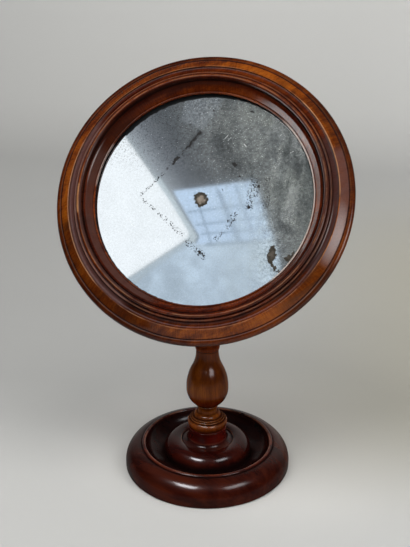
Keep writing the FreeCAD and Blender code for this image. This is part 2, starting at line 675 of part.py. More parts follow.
make_base()
make_base_pad()
make_stem_screw()
make_stem_washer()
make_stem()
make_swivel_washer()
make_column()
make_frame()
make_glass()
make_backing_paper()
make_backboard()
make_screw_ring("board_screws", BOARD_SCREW_CIRCLE, BOARD_BACK,
                f"{PAPER_BACK} + board_screw_bite", "board_screw")
make_yoke()
make_screw_ring("yoke_screws", "yoke_screw_circle", FLANGE_BACK,
                f"{BOARD_BACK} + yoke_screw_bite", "yoke_screw")
make_pivot_bolt()
make_pivot_nut()
make_washer_pair("pivot_washers", "bolt_radius + glue_gap", "bolt_washer_radius",
                 f"({YOKE_WIDTH}) / 2", "bolt_washer_thickness")
make_washer_pair("friction_washers", "bolt_radius + glue_gap", "friction_radius",
                 "tongue_thickness / 2 + face_gap", "friction_thickness")
doc.recompute()

for item in doc.Objects:
    if "Invalid" in item.State or "Error" in item.State:
        raise RuntimeError(f"{item.Label} did not recompute: {item.State}")
for name, body in SUBPARTS.items():
    if body.Shape.isNull() or not body.Shape.isValid():
        raise RuntimeError(f"{name} has no valid shape")

os.makedirs("parts", exist_ok=True)
for name, body in SUBPARTS.items():
    body.Shape.exportStep(os.path.join("parts", f"{name}.step"))
    print(f"{name}: {len(body.Shape.Solids)} solid(s), {body.Shape.Volume / 1000:.2f} cm3")
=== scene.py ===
import bpy
import bmesh
import math
from mathutils import Matrix, Vector


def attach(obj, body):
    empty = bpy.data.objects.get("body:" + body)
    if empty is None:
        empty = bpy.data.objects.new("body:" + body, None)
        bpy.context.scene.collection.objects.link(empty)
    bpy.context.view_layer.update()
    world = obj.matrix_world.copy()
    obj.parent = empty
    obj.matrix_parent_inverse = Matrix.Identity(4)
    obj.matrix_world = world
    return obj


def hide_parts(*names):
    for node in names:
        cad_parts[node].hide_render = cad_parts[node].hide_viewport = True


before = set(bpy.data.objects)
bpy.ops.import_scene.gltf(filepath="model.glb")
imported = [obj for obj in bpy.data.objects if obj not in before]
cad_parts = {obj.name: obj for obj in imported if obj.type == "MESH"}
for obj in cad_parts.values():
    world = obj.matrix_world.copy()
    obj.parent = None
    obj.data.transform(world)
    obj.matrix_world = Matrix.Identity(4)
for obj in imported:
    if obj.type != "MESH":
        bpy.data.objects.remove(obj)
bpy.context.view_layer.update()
print("frame loaded:", len(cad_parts), "nodes")

scene = bpy.context.scene
scene.view_settings.view_transform = "Standard"
mm, toMm = 0.001, 1000
noSpot = noTurn = (0, 0, 0)
white = (1, 1, 1)
noiseMean = 0.5

# where the mirror's own drawing sits: the tilt axis above the table, and the lean that lays it back
mirrorSpot, mirrorTurn = (0, 0, 0.2452), (math.radians(57.35), 0, 0)
leanBack = Matrix.Translation(mirrorSpot) @ Matrix.Rotation(mirrorTurn[0], 4, "X")


class Wire:
    def __init__(self, tree, socket=None):
        self.tree = tree
        self.socket = socket

    # any node: its type, its settings (set first), what goes into its sockets
    def node(self, kind, settings=None, inputs=None, out=0):
        made = self.tree.nodes.new(kind)
        for key, setting in (settings or {}).items():
            if key == "stops":
                fillRamp(made.color_ramp, setting)
            else:
                setattr(made, key, setting)
        for key, given in (inputs or {}).items():
            target = pick(made.inputs, key)
            if isinstance(given, Wire):
                self.tree.links.new(given.socket, target)
            else:
                target.default_value = given
        return Wire(self.tree, pick(made.outputs, out))

    def math(self, operation, *terms, clamp=False):
        settings = {"operation": operation, "use_clamp": clamp}
        return self.node("ShaderNodeMath", settings, dict(enumerate(terms)))

    def __add__(self, other):
        return self.math("ADD", self, other)

    def __radd__(self, other):
        return self.math("ADD", other, self)

    def __sub__(self, other):
        return self.math("SUBTRACT", self, other)

    def __rsub__(self, other):
        return self.math("SUBTRACT", other, self)

    def __mul__(self, other):
        return self.math("MULTIPLY", self, other)

    def __rmul__(self, other):
        return self.math("MULTIPLY", other, self)

    def __truediv__(self, other):
        return self.math("DIVIDE", self, other)

    def __rtruediv__(self, other):
        return self.math("DIVIDE", other, self)

    # the larger of two values, and a value kept from 0 to 1
    def over(self, other):
        return self.math("MAXIMUM", self, other)

    def kept(self):
        return self.math("ADD", self, 0, clamp=True)

    # an even rise from 0 at low to 1 at high, and a soft one
    def rise(self, low, high, kind="LINEAR"):
        return self.node("ShaderNodeMapRange", {"interpolation_type": kind},
                         {"Value": self, "From Min": low, "From Max": high}, "Result")

    def step(self, low, high):
        return self.rise(low, high, "SMOOTHSTEP")

    def ramp(self, stops):
        return self.node("ShaderNodeValToRGB", {"stops": stops}, {"Fac": self}, "Color")


def pick(sockets, key):
    if isinstance(key, int):
        return sockets[key]
    return next(s for s in sockets if key in (s.identifier, s.name))


def fillRamp(ramp, stops):
    while len(ramp.elements) < len(stops):
        ramp.elements.new(1)
    for element, (place, colour) in zip(ramp.elements, stops):
        element.position = place
        element.color = (colour, colour, colour, 1) if isinstance(colour, (int, float)) else (*colour, 1)


class Finish:
    def __init__(self, name, shader="ShaderNodeBsdfPrincipled"):
        self.material = bpy.data.materials.new(name)
        self.material.use_nodes = True
        tree = self.material.node_tree
        tree.nodes.clear()
        self.wire = Wire(tree)
        self.shader = tree.nodes.new(shader)
        self.outlet = tree.nodes.new("ShaderNodeOutputMaterial")
        tree.links.new(self.shader.outputs[0], self.outlet.inputs["Surface"])

    def node(self, *args, **kwargs):
        return self.wire.node(*args, **kwargs)

    def set(self, **sockets):
        for name, given in sockets.items():
            target = self.shader.inputs[name.replace("_", " ")]
            if isinstance(given, Wire):
                self.wire.tree.links.new(given.socket, target)
            else:
                target.default_value = given

    def place(self):
        return self.node("ShaderNodeTexCoord", out="Object")

    # coordinates as seen from a spot, turned back by an Euler angle
    def seenFrom(self, vector, spot, turn, scale=(1, 1, 1)):
        return self.node("ShaderNodeMapping", {"vector_type": "TEXTURE"},
                         {"Vector": vector, "Location": spot, "Rotation": turn, "Scale": scale}, "Vector")

    # a layer of noise: how it is drawn out, its scale, detail, roughness and distortion
    def layer(self, vector, look, times=1, out="Fac"):
        draw, scale, detail, roughness, distortion = look
        if draw:
            vector = self.node("ShaderNodeMapping", {}, {"Vector": vector, "Scale": draw}, "Vector")
        inputs = {"Vector": vector, "Scale": scale * times, "Detail": detail, "Roughness": roughness,
                  "Distortion": distortion}
        return self.node("ShaderNodeTexNoise", {}, inputs, out)

    def cells(self, vector, scale, out):
        return self.node("ShaderNodeTexVoronoi", {"feature": "F1"},
                         {"Vector": vector, "Scale": scale, "Randomness": 1}, out)

    def vector(self, operation, *terms):
        single = operation in ("LENGTH", "DOT_PRODUCT", "DISTANCE")
        return self.node("ShaderNodeVectorMath", {"operation": operation}, dict(enumerate(terms)),
                         "Value" if single else "Vector")

    def joined(self, x, y, z=0):
        return self.node("ShaderNodeCombineXYZ", {}, {"X": x, "Y": y, "Z": z})

    def red(self, colour):
        return self.node("ShaderNodeSeparateColor", {}, {"Color": colour}, "Red")

    def split(self, vector):
        made = self.node("ShaderNodeSeparateXYZ", {}, {"Vector": vector})
        return [Wire(made.tree, s) for s in made.socket.node.outputs]

    def blend(self, share, first, second, kind="MIX"):
        inputs = {"Factor_Float": share, "A_Color": first, "B_Color": second}
        inputs = {k: (*v, 1) if isinstance(v, tuple) else v for k, v in inputs.items()}
        return self.node("ShaderNodeMix", {"data_type": "RGBA", "blend_type": kind}, inputs, "Result_Color")

    def bump(self, height, distance, strength):
        return self.node("ShaderNodeBump", {},
                         {"Height": height, "Distance": distance, "Strength": strength}, "Normal")


# how a turned outline is pointed: straight runs over a length get points near their ends
turnLook = {"flat": 1e-6, "short": 1.5, "straight": (0.08, 0.5, 0.92, 1), "fewest": 4,
            "merge": 1e-7, "spunMerge": 1e-6, "crease": 38}


# points of an arc that swells by bulge to the right of the way from start to end
def arcPoints(start, end, bulge, spacing):
    chord = end - start
    if abs(bulge) < turnLook["flat"]:
        if chord.length <= turnLook["short"]:
            return [end]
        return [start + chord * share for share in turnLook["straight"]]
    sweep = 4 * math.atan(2 * bulge / chord.length)
    radius = chord.length / (2 * math.sin(abs(sweep) / 2))
    side = Vector((chord.y, -chord.x)).normalized()
    centre = (start + end) / 2 + side * (bulge - math.copysign(radius, bulge))
    count = max(turnLook["fewest"], math.ceil(abs(sweep) * radius / spacing))
    return [centre + Matrix.Rotation(sweep * k / count, 2) @ (start - centre) for k in range(1, count + 1)]


# spins an outline, in millimetres, round Z: each corner is (radius, height) or (radius, height, bulge)
def turnPiece(name, look, place=Matrix.Identity(4), crease=turnLook["crease"]):
    bm = bmesh.new()
    corners = [Vector(c[:2]) for c in look["outline"]]
    bulges = [c[2] if len(c) > 2 else 0 for c in look["outline"]]
    points, kinks = [corners[0]], [0]
    last = len(corners) + (1 if look["closed"] else 0)
    for k in range(1, last):
        k = k % len(corners)
        points += arcPoints(corners[k - 1], corners[k], bulges[k], look["spacing"])
        kinks.append(len(points) - 1)
    verts = [bm.verts.new((p.x * mm, 0, p.y * mm)) for p in points]
    for a, b in zip(verts, verts[1:]):
        bm.edges.new((a, b))
    bmesh.ops.remove_doubles(bm, verts=bm.verts, dist=turnLook["merge"])
    soft = [verts[k] for k in kinks if verts[k].is_valid and len(verts[k].link_edges) == 2]
    bmesh.ops.bevel(bm, geom=soft, offset=look["soften"] * mm, offset_type="OFFSET", affect="VERTICES",
                    segments=2, profile=0.5, material=-1, clamp_overlap=True)
    bmesh.ops.spin(bm, geom=bm.verts[:] + bm.edges[:], cent=noSpot, axis=(0, 0, 1), dvec=noSpot,
                   angle=2 * math.pi, steps=look["steps"], use_merge=True, use_duplicate=False)
    bmesh.ops.remove_doubles(bm, verts=bm.verts, dist=turnLook["spunMerge"])
    bmesh.ops.recalc_face_normals(bm, faces=bm.faces)
    bm.transform(place)
    return finishPiece(name, bm, crease)


def finishPiece(name, bm, crease=turnLook["crease"]):
    mesh = bpy.data.meshes.new(name)
    bm.to_mesh(mesh)
    bm.free()
    mesh.shade_smooth()
    mesh.set_sharp_from_angle(angle=math.radians(crease))
    piece = bpy.data.objects.new(name, mesh)
    scene.collection.objects.link(piece)
    return piece


def dress(piece, material, body, node):
    piece.data.materials.append(material)
    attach(piece, body)
    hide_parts(node)


# a stretch of a turned piece: round a bearing, within a half angle, and between two radii in millimetres;
# it fades between two shares of the half angle and over a little of the radius
def stretch(spot, bearing, half, inner, outer, fade):
    x, y, radius = spot
    wide, narrow, rim = fade
    aim = math.radians(bearing)
    facing = (x * math.cos(aim) + y * math.sin(aim)) / radius
    around = facing.step(math.cos(math.radians(half * wide)), math.cos(math.radians(half * narrow)))
    beyond = radius.step((inner - rim) * mm, inner * mm)
    within = 1 - radius.step(outer * mm, (outer + rim) * mm)
    return around * beyond * within


# layers of the wood, as layer() takes them; the scales of figure, streaks and bars are times each wood's own
woodLayers = {
    "figure": ((0.2, 1, 1), 1, 3, 0.55, 0.6), "streaks": ((0.05, 1, 1), 1, 4, 0.62, 0.2),
    "fibres": ((0.03, 1, 1), 900, 3, 0.6, 0), "pores": ((0.07, 1, 1), 2300, 1, 0.5, 0),
    "flecks": (None, 95, 3, 0.6, 0), "bars": ((0.12, 1, 0.6), 2.2, 4, 0.6, 1),
    "blotch": (None, 75, 3, 0.6, 0), "rings": (None, 1300, 2, 0.6, 0), "hollows": (None, 40, 2, 0.5, 0),
    "smear": ((0.4, 1, 1), 120, 4, 0.65, 0),
}
# how the layers are mixed: shares, soft steps, and fades as stretch() takes them
woodMix = {
    "figure": 0.5, "streaks": 0.38, "fibres": 0.12, "toneStep": (0.36, 0.64), "fleckPitch": 1.6,
    "barStep": (0.55, 0.7), "stripeWander": 6, "poreStep": (0.6, 0.72), "pores": 0.4,
    "shadeFade": (1.5, 0.5, 2), "shadeLeast": 0.35, "shadeStep": (0.3, 0.65),
    "wornSheenFade": (1.1, 0.9, 0.3), "wornSheenLeast": 0.4, "wornSheenStreaks": 0.85,
    "mattFade": (1.3, 0.8, 0.5), "matt": 0.85,
    "grimeShadeLeast": 0.5, "grimeShadeBlotch": 0.9, "grimeAndShade": 0.95, "rubbedGlintStep": (0.36, 0.6), "rubbedAndGlint": 0.8,
    "smearRough": 0.16, "grimeRough": 0.2, "smearCoat": 0.2, "grimeCoat": 0.85,
    "ringRelief": 0.1, "fibreRelief": 0.1, "poreRelief": 0.3, "hollowRelief": 5,
    "depth": 0.00006, "bump": 0.6,
}


# polished mahogany: figure, streaks and fibres drawn out along the grain, open pores, and grime and rubbed
# colour in lines that follow the section: the grime partly painted shade in the sunk lines, the rubbed
# colour partly painted highlights on the edges
def mahogany(name, look):
    f, m, layers = Finish(name), woodMix, woodLayers
    local = f.seenFrom(f.place(), look["spot"], look["turn"])
    x, y, z = f.split(local)
    radius = f.vector("LENGTH", f.joined(x, y))
    spot = (x, y, radius)
    section = (radius if look["along"] == "radius" else z).rise(*(edge * mm for edge in look["span"]))
    grain = f.seenFrom(local, noSpot, look["grain"])
    figure = f.layer(grain, layers["figure"], look["figure"])
    streaks = f.layer(grain, layers["streaks"], look["streak"])
    fibres = f.layer(grain, layers["fibres"])
    pores = f.layer(grain, layers["pores"]).step(*m["poreStep"])
    flecks = f.layer(f.joined(x / radius, y / radius, radius * m["fleckPitch"]), layers["flecks"])
    tone = figure * m["figure"] + streaks * m["streaks"] + fibres * m["fibres"]
    tone = tone + (flecks - noiseMean) * look["flecks"]
    colour = tone.step(*m["toneStep"]).ramp(look["colours"])
    colour = f.blend(1, colour, section.ramp(look["zones"]), "MULTIPLY")
    bars = f.layer(grain, layers["bars"], look["figure"]).step(*m["barStep"])
    for across, half in look["stripes"]:
        side = (f.split(grain)[1] * toMm - across + (streaks - noiseMean) * m["stripeWander"]) / half
        bars = bars.over((1 - side * side).kept())
    colour = f.blend(bars * look["bars"], colour, look["dark"])
    for *where, share in look["shadeAndFigure"]:
        shade = stretch(spot, *where, m["shadeFade"]) * (m["shadeLeast"] + streaks.step(*m["shadeStep"]))
        colour = f.blend((shade * share).kept(), colour, look["dark"])
    for *where, wornAndSheen in look["wornAndSheen"]:
        patch = stretch(spot, *where, m["wornSheenFade"]) * (m["wornSheenLeast"] + streaks * m["wornSheenStreaks"])
        colour = f.blend(patch.kept(), colour, wornAndSheen)
    colour = f.blend(pores * m["pores"], colour, look["dark"])
    # grime in the sunk lines, partly painted shade; rubbed colour on the edges, partly painted highlights
    blotch = f.layer(local, layers["blotch"])
    grimeAndShade = f.red(section.ramp(look["grimeAndShade"])) * (m["grimeShadeLeast"] + blotch * m["grimeShadeBlotch"])
    rubbedAndGlint = f.red(section.ramp(look["rubbedAndGlint"])) * blotch.step(*m["rubbedGlintStep"])
    colour = f.blend((rubbedAndGlint * m["rubbedAndGlint"]).kept(), colour, look["bare"])
    colour = f.blend((grimeAndShade * m["grimeAndShade"]).kept(), colour, look["dirtAndShade"])
    rings = f.layer(f.joined(radius, z), layers["rings"])
    hollows = f.layer(local, layers["hollows"])
    smear = f.layer(grain, layers["smear"])
    gloss = f.red(section.ramp(look["gloss"]))
    for where in look["matt"]:
        gloss = gloss * (1 - stretch(spot, *where, m["mattFade"]) * m["matt"])
    coat = (look["polish"] + smear * m["smearCoat"] - grimeAndShade * m["grimeCoat"]) * gloss
    f.set(Base_Color=colour, Coat_Weight=coat.kept(),
          Roughness=(look["rough"] + smear * m["smearRough"] + grimeAndShade * m["grimeRough"]).kept())
    f.set(Coat_Roughness=look["coatRough"], Coat_IOR=look["coatBend"], Specular_IOR_Level=0)
    relief = rings * m["ringRelief"] + fibres * m["fibreRelief"] - pores * m["poreRelief"]
    f.set(Normal=f.bump(relief + hollows * m["hollowRelief"], m["depth"], m["bump"]))
    return f.material


frameLook = {
    "closed": True, "steps": 256, "soften": 0.2, "spacing": 0.5,
    "outline": [
        (88.9, 26.1), (88.9, 27.7), (90, 28.5, -0.4), (90.15, 28), (93.6, 33.5), (96.3, 35.9, -0.26),
        (96.5, 35.2), (97, 38.2), (100.9, 38, -2), (101.1, 37), (101.3, 37), (103.5, 36.8, -0.9),
        (103.7, 36.2), (108.6, 34.9, 0.9), (108.6, 35.9), (109.1, 35.9), (116, 31.4, -0.12), (116.4, 30.4),
        (116.4, 31.2), (121.12, 27.9, -1.18), (116.85, 24.6, -1.25), (115.55, 24.6), (115.55, 15.4),
        (106, 15.4), (106, 22.7), (96, 22.7), (96, 26.1)],
}
# zones, grime and painted shade, rubbed colour and painted highlights, and gloss run along the section, from
# 0 to 1 over the span in millimetres; stripes are (across, half width); shades, worn and matt are stretches
# with
# how dark they are or their colour: the shades painted shade and darker figure, the worn ones wear, painted
# highlights and painted sheen
frameWood = {
    "spot": mirrorSpot, "turn": mirrorTurn, "grain": (0.05, 0.03, math.radians(40)),
    "figure": 26, "streak": 190, "flecks": 0.24, "bars": 0.45, "stripes": [(-65, 1.6), (-21, 2.2)],
    # at 118 and 150 degrees painted shade on the inner slope; the others darken patches of the wood
    "shadeAndFigure": [
        (-38, 12, 88, 122, 0.6), (8, 7, 88, 122, 0.35), (247, 7, 88, 122, 0.55), (197, 2, 88, 122, 0.5),
        (60, 3, 88, 122, 0.3), (118, 40, 94.2, 97, 0.5), (150, 16, 89, 95, 0.6), (30, 14, 112.5, 122, 0.5),
        (222, 24, 109.6, 122, 0.38)],
    # painted highlights on the sight edge at 0 and 165, painted sheen at 195 to 205 and -2, wear at 186, 192,
    # 25
    "wornAndSheen": [
        (186, 7, 98.9, 101.5, (0.33, 0.15, 0.06)), (192, 34, 108.7, 109.4, (0.27, 0.135, 0.075)),
        (0, 46, 88.9, 89.9, (0.6, 0.5, 0.45)), (165, 12, 88.9, 89.4, (0.26, 0.2, 0.18)),
        (205, 46, 90.4, 94.6, (0.064, 0.028, 0.022)), (195, 46, 97.2, 98.7, (0.05, 0.024, 0.02)),
        (195, 46, 101.4, 103.6, (0.12, 0.062, 0.054)), (195, 46, 104.2, 108.4, (0.086, 0.04, 0.036)),
        (25, 22, 108.7, 109.4, (0.36, 0.18, 0.09)), (-2, 30, 97.2, 100.8, (0.042, 0.015, 0.011)),
        (-2, 30, 101.4, 103.6, (0.045, 0.019, 0.015)), (-2, 30, 104.2, 108.4, (0.043, 0.02, 0.018)),
        (-2, 24, 109.6, 116, (0.098, 0.044, 0.036))],
    "matt": [(112, 42, 93.6, 97.8)],
    "rough": 0.42, "polish": 0.75, "gloss": [(0, 1), (1, 1)], "coatRough": 0.1, "coatBend": 1.37,
    "colours": [(0, (0.058, 0.0098, 0.0016)), (0.5, (0.15, 0.032, 0.0028)), (1, (0.262, 0.068, 0.0056))],
    "dark": (0.02, 0.006, 0.0035), "bare": (0.33, 0.15, 0.06), "dirtAndShade": (0.007, 0.004, 0.0035),
    "along": "radius", "span": (88, 122),
    "zones": [
        (0, (0.7, 0.5, 0.6)), (0.07, (0.7, 0.5, 0.62)), (0.14, (0.58, 0.4, 0.55)), (0.19, (0.34, 0.2, 0.4)),
        (0.25, (0.2, 0.12, 0.3)), (0.29, (0.42, 0.26, 0.45)), (0.33, (0.6, 0.42, 0.6)),
        (0.37, (0.5, 0.34, 0.5)), (0.4, (0.42, 0.3, 0.5)), (0.45, (0.5, 0.36, 0.55)),
        (0.58, (0.5, 0.35, 0.6)), (0.62, (0.95, 0.9, 0.9)), (0.7, white), (0.8, (0.92, 0.86, 0.85)),
        (0.835, (0.5, 0.42, 0.6)), (0.93, (0.5, 0.4, 0.55)), (1, (0.36, 0.28, 0.45))],
    "grimeAndShade": [
        (0, 0.4), (0.03, 0), (0.05, 0), (0.062, 0.8), (0.075, 0), (0.225, 0), (0.245, 1), (0.262, 0.4),
        (0.285, 0), (0.372, 0), (0.388, 1), (0.4, 0.2), (0.41, 0), (0.45, 0), (0.462, 1), (0.485, 0.25),
        (0.54, 0), (0.598, 0.2), (0.606, 0.6), (0.613, 0), (0.815, 0), (0.834, 0.9), (0.85, 0.2),
        (0.89, 0.05), (0.897, 0.15), (0.91, 0.05), (0.952, 0.1), (1, 0.2)],
    # the line at 0.618, on the fillet inside the band, is rubbed colour and a painted highlight
    "rubbedAndGlint": [
        (0.02, 0), (0.04, 0.12), (0.055, 0), (0.3, 0), (0.325, 0.5), (0.345, 0), (0.415, 0), (0.428, 0.35),
        (0.442, 0), (0.61, 0), (0.618, 0.9), (0.63, 0.15), (0.645, 0), (0.855, 0), (0.866, 0.25), (0.88, 0)],
}
ring = turnPiece("frame_ring", frameLook, leanBack)
dress(ring, mahogany("frame_mahogany", frameWood), "head", "frame")
print("frame turned")

baseLook = {
    "closed": True, "steps": 224, "soften": 0.3, "spacing": 0.7,
    "outline": [
        (2.15, 6), (8, 6), (8, 1.5), (66.6, 1.5), (66.6, 0.5), (74.47, 0.5), (75.47, 1.5, 0.293),
        (75.47, 4.5), (60.4, 21.1, 4.6), (60.4, 21.7), (56.8, 21.7, 1.2), (41, 10.3, -3.2), (39.8, 10.3),
        (39.8, 13.3), (23.6, 24.5, 5.75), (23.6, 23.6), (22.6, 23.6), (17, 28.1, -1.3), (17, 36.6),
        (17, 38, 0.5), (8.05, 38), (8.05, 11.8), (2.15, 11.8)],
}
baseWood = {
    "spot": noSpot, "turn": noTurn, "grain": (0.04, 0.05, math.radians(-25)),
    "figure": 24, "streak": 150, "flecks": 0, "bars": 0.35, "stripes": [(24, 3)],
    # painted shade at the back of the channel, where the stem and the head keep the light off
    "shadeAndFigure": [(80, 52, 40, 60, 0.85)], "wornAndSheen": [], "matt": [],
    "rough": 0.45, "polish": 0.62, "gloss": [(0.86, 1), (0.94, 0.35), (1, 0.3)],
    "coatRough": 0.18, "coatBend": 1.38,
    "colours": [(0, (0.011, 0.0016, 0.0011)), (0.5, (0.025, 0.0037, 0.0018)), (1, (0.046, 0.0078, 0.0029))],
    "dark": (0.01, 0.003, 0.0026), "bare": (0.2, 0.075, 0.04), "dirtAndShade": (0.004, 0.0025, 0.0025),
    "along": "radius", "span": (15, 77),
    # from 0.69 the rim's top is lighter, in part a painted highlight
    "zones": [
        (0, (2.6, 0.9, 0.9)), (0.04, (2.6, 0.9, 0.9)), (0.06, (1.4, 1.9, 2.3)), (0.13, (1.6, 2.1, 2.5)),
        (0.16, (1.1, 0.8, 0.85)), (0.4, (0.9, 0.7, 0.8)), (0.42, (0.8, 0.8, 1)), (0.66, (0.8, 0.8, 0.9)),
        (0.69, (2.5, 2.4, 2.6)), (0.74, white), (1, white)],
    # in the channel, from 0.4 to 0.66, the grime also darkens it as painted shade
    "grimeAndShade": [
        (0.03, 0), (0.045, 0.7), (0.07, 0.1), (0.115, 0.2), (0.132, 0.9), (0.143, 0), (0.385, 0),
        (0.402, 1), (0.43, 0.85), (0.5, 0.6), (0.6, 0.4), (0.655, 0.3), (0.68, 0), (0.72, 0), (0.735, 1),
        (0.755, 0.15), (0.79, 0)],
    # the line at 0.687, on the inner edge of the rim, is a painted highlight
    "rubbedAndGlint": [
        (0.034, 0), (0.0395, 0.5), (0.043, 0), (0.139, 0), (0.146, 0.9), (0.156, 0), (0.675, 0),
        (0.687, 0.9), (0.7, 0.2), (0.722, 0)],
}
base = turnPiece("base_turning", baseLook)
dress(base, mahogany("base_mahogany", baseWood), "stand", "base")
print("base turned")

stemLook = {
    "closed": False, "steps": 128, "soften": 0.2, "spacing": 0.5,
    "outline": [
        (0, 28), (2.15, 28), (2.15, 12.4), (8, 12.4), (8, 38), (16.3, 38), (16.3, 39.3),
        (16.3, 46.2, 1.8), (15.6, 46.2), (14.7, 47.6, 0.5), (14.1, 47.6), (13.2, 49, 0.5), (12.2, 49),
        (9.6, 52.6, 0.75), (9, 52.6), (9, 58.8, -0.6), (9.7, 58.8), (9.7, 60.2, 0.35), (9.6, 60.2),
        (19, 77.3, 2.75), (13.8, 98.6, 1.42), (10.15, 112.5, -0.85), (10.15, 114.35), (6.08, 114.35),
        (6.08, 80.6), (0, 80.6)],
}
stemWood = {
    "spot": noSpot, "turn": noTurn, "grain": (0, math.radians(88), 0.1),
    "figure": 34, "streak": 190, "flecks": 0, "bars": 0.5, "stripes": [(4, 1.5)],
    "shadeAndFigure": [], "wornAndSheen": [], "matt": [],
    "rough": 0.42, "polish": 0.34, "gloss": [(0, 1), (1, 1)], "coatRough": 0.17, "coatBend": 1.38,
    "colours": [(0, (0.082, 0.018, 0.0018)), (0.5, (0.165, 0.042, 0.0032)), (1, (0.262, 0.076, 0.0056))],
    "dark": (0.018, 0.006, 0.003), "bare": (0.3, 0.14, 0.055), "dirtAndShade": (0.006, 0.004, 0.003),
    "along": "height", "span": (38, 116),
    "zones": [
        (0, (0.78, 0.56, 0.65)), (0.1, (0.85, 0.66, 0.72)), (0.16, (0.75, 0.65, 0.8)),
        (0.24, (0.85, 0.8, 0.9)), (0.27, (0.75, 0.55, 0.7)), (0.3, (0.46, 0.2, 0.35)),
        (0.4, (0.46, 0.22, 0.35)), (0.5, (0.9, 0.8, 0.8)), (0.55, (0.88, 0.8, 0.7)), (0.7, (0.6, 0.5, 0.5)),
        (0.86, (0.7, 0.6, 0.6)), (0.98, (0.8, 0.62, 0.7))],
    "grimeAndShade": [
        (0, 0.9), (0.014, 0.3), (0.018, 0.8), (0.028, 0), (0.095, 0), (0.106, 1), (0.112, 0), (0.118, 0),
        (0.124, 1), (0.13, 0), (0.136, 0), (0.142, 1), (0.15, 0.1), (0.182, 0), (0.188, 0.6), (0.2, 0.1),
        (0.262, 0.3), (0.267, 0.9), (0.272, 0), (0.283, 0.1), (0.288, 0.9), (0.3, 0.35), (0.34, 0.1),
        (0.38, 0)],
    # light lines on the beads and the ring of the foot, rubbed colour and painted highlights
    "rubbedAndGlint": [
        (0.07, 0), (0.085, 0.3), (0.098, 0), (0.113, 0), (0.117, 0.6), (0.122, 0), (0.131, 0), (0.135, 0.5),
        (0.14, 0), (0.272, 0), (0.277, 0.7), (0.283, 0)],
}
stem = turnPiece("stem_turning", stemLook)
dress(stem, mahogany("stem_mahogany", stemWood), "stand", "stem")
print("stem turned")

glassLook = {
    "closed": False, "steps": 192, "soften": 0.1, "spacing": 0.6, "crease": 8,
    "outline": [(0, 23.1), (95.2, 23.1), (95.5, 23.4), (95.5, 23.9), (95.3, 24.1), (0, 24.1)],
}
# on the glass, in millimetres from its centre: bare patches (place, half size, lean in degrees, how brown),
# and a bite of silver left in the largest
barePatches = [
    ((-1.2, -1.5), (6, 6.9), 10, 1), ((59.9, -43.6), (3.3, 7.6), -4, 0.25),
    ((62, -53.2), (1.5, 4.2), 24, 0.15), ((65.8, -56.4), (2.2, 1), 20, 0.15),
    ((73.5, -44.8), (4, 2.3), 38, 0.3), ((76.5, -41), (1.2, 2.4), -30, 0.2)]
silverBite = ((5.2, 1.2), (2.6, 3), 0)
# lines of foxing: from, to, half width, how thick with dots
foxTrails = [
    ((-18.5, 40.5), (-25, 32), 1.3, 0.9), ((-26.6, 29.7), (-37.9, 15.1), 1.4, 0.9),
    ((-37.9, 15.1), (-51.3, -0.6), 1.4, 0.8), ((-51.3, -0.6), (-47.5, -5.7), 1.2, 0.9),
    ((-47.5, -5.7), (-30.2, -18.5), 1.3, 0.85), ((-30.2, -18.5), (-14, -31), 2.2, 1),
    ((-9, -36.5), (6, -48.3), 3, 1), ((40.5, 15.5), (38, -6), 3.6, 0.9), ((43.5, 12.5), (41, 2), 2.4, 1),
    ((29.5, -9.5), (24, -20.5), 3.2, 0.8), ((23.5, -22.5), (14.5, -33.5), 2.2, 0.6),
    ((50, 18), (52, -4), 3, 0.6)]
# dark strokes where the silver has gone: from, to, half width, strength
darkStrokes = [
    ((-7.8, 56.4), (-11.5, 51), 0.8, 0.85), ((-11.5, 51), (-17.5, 42.2), 1.1, 0.85),
    ((-24.4, 33), (-27.6, 28.3), 1, 1), ((22.4, 29.5), (24.2, 28.6), 1.2, 1),
    ((28.4, 19), (29.4, 18.5), 0.8, 0.9), ((15, 7.4), (15.4, 6.9), 0.6, 1),
    ((44, 12.4), (44.6, 10.8), 0.9, 1), ((0.7, 74.6), (1.1, 74.2), 0.7, 0.9),
    ((32.4, 75.8), (33.4, 75.2), 0.8, 0.9), ((-17.9, 61.9), (-17.5, 61.5), 0.6, 0.9),
    ((1.6, -44), (5.8, -48.4), 0.8, 1), ((37.4, -4.6), (38.6, -6), 0.7, 1),
    ((-37.5, 15.6), (-38.4, 14.4), 0.7, 1)]
# dull clouds in the silver, pale ones where it has gone milky, and scratches: from, to, half width
dullClouds = [
    ((66, -20), (72, -24), 4.5), ((73, 31), (74.5, 23), 3), ((-9, 55), (-16.5, 43.5), 2.2),
    ((8, 50), (24, 26), 7.5)]
paleClouds = [
    ((58, 66), (76, 42), 7), ((72, 10), (70, -12), 5), ((60, 20), (62, 34), 5)]
scratches = [
    ((12.6, 50.6), (15.2, 54), 0.22), ((15.6, 49.4), (17.8, 52.2), 0.22), ((67, 41), (69.5, 42.5), 0.22),
    ((-59, -22), (-53, -28), 0.2), ((29, 47), (31.5, 44.5), 0.2)]
glassLayers = {
    "fray": (None, 380, 5, 0.65, 0), "cloud": (None, 26, 5, 0.62, 0.4), "fine": (None, 240, 5, 0.7, 0),
    "grain": (None, 850, 3, 0.75, 0), "gaps": (None, 420, 2, 0.6, 0), "strays": (None, 60, 2, 0.5, 0),
    "streaks": ((1, 0.3, 1), 120, 4, 0.65, 0), "smudges": ((1, 0.35, 1), 55, 4, 0.6, 0.4),
    "mottling": (None, 480, 4, 0.8, 0),
}
glassTones = {
    "silver": ((0.78, 0.81, 0.83), (0.87, 0.9, 0.93)), "tarnish": (0.52, 0.56, 0.5),
    "smudge": (0.3, 0.33, 0.33), "dull": (0.28, 0.29, 0.31), "pit": (0.2, 0.21, 0.22),
    "scratch": (0.85, 0.88, 0.88), "fox": (0.018, 0.017, 0.017), "bare": (0.032, 0.027, 0.02),
    "brown": ((0.09, 0.07, 0.055), (0.25, 0.21, 0.17)), "edge": (0.008, 0.009, 0.01),
    "mottling": [(0, 0.62), (1, 1.32)],
}
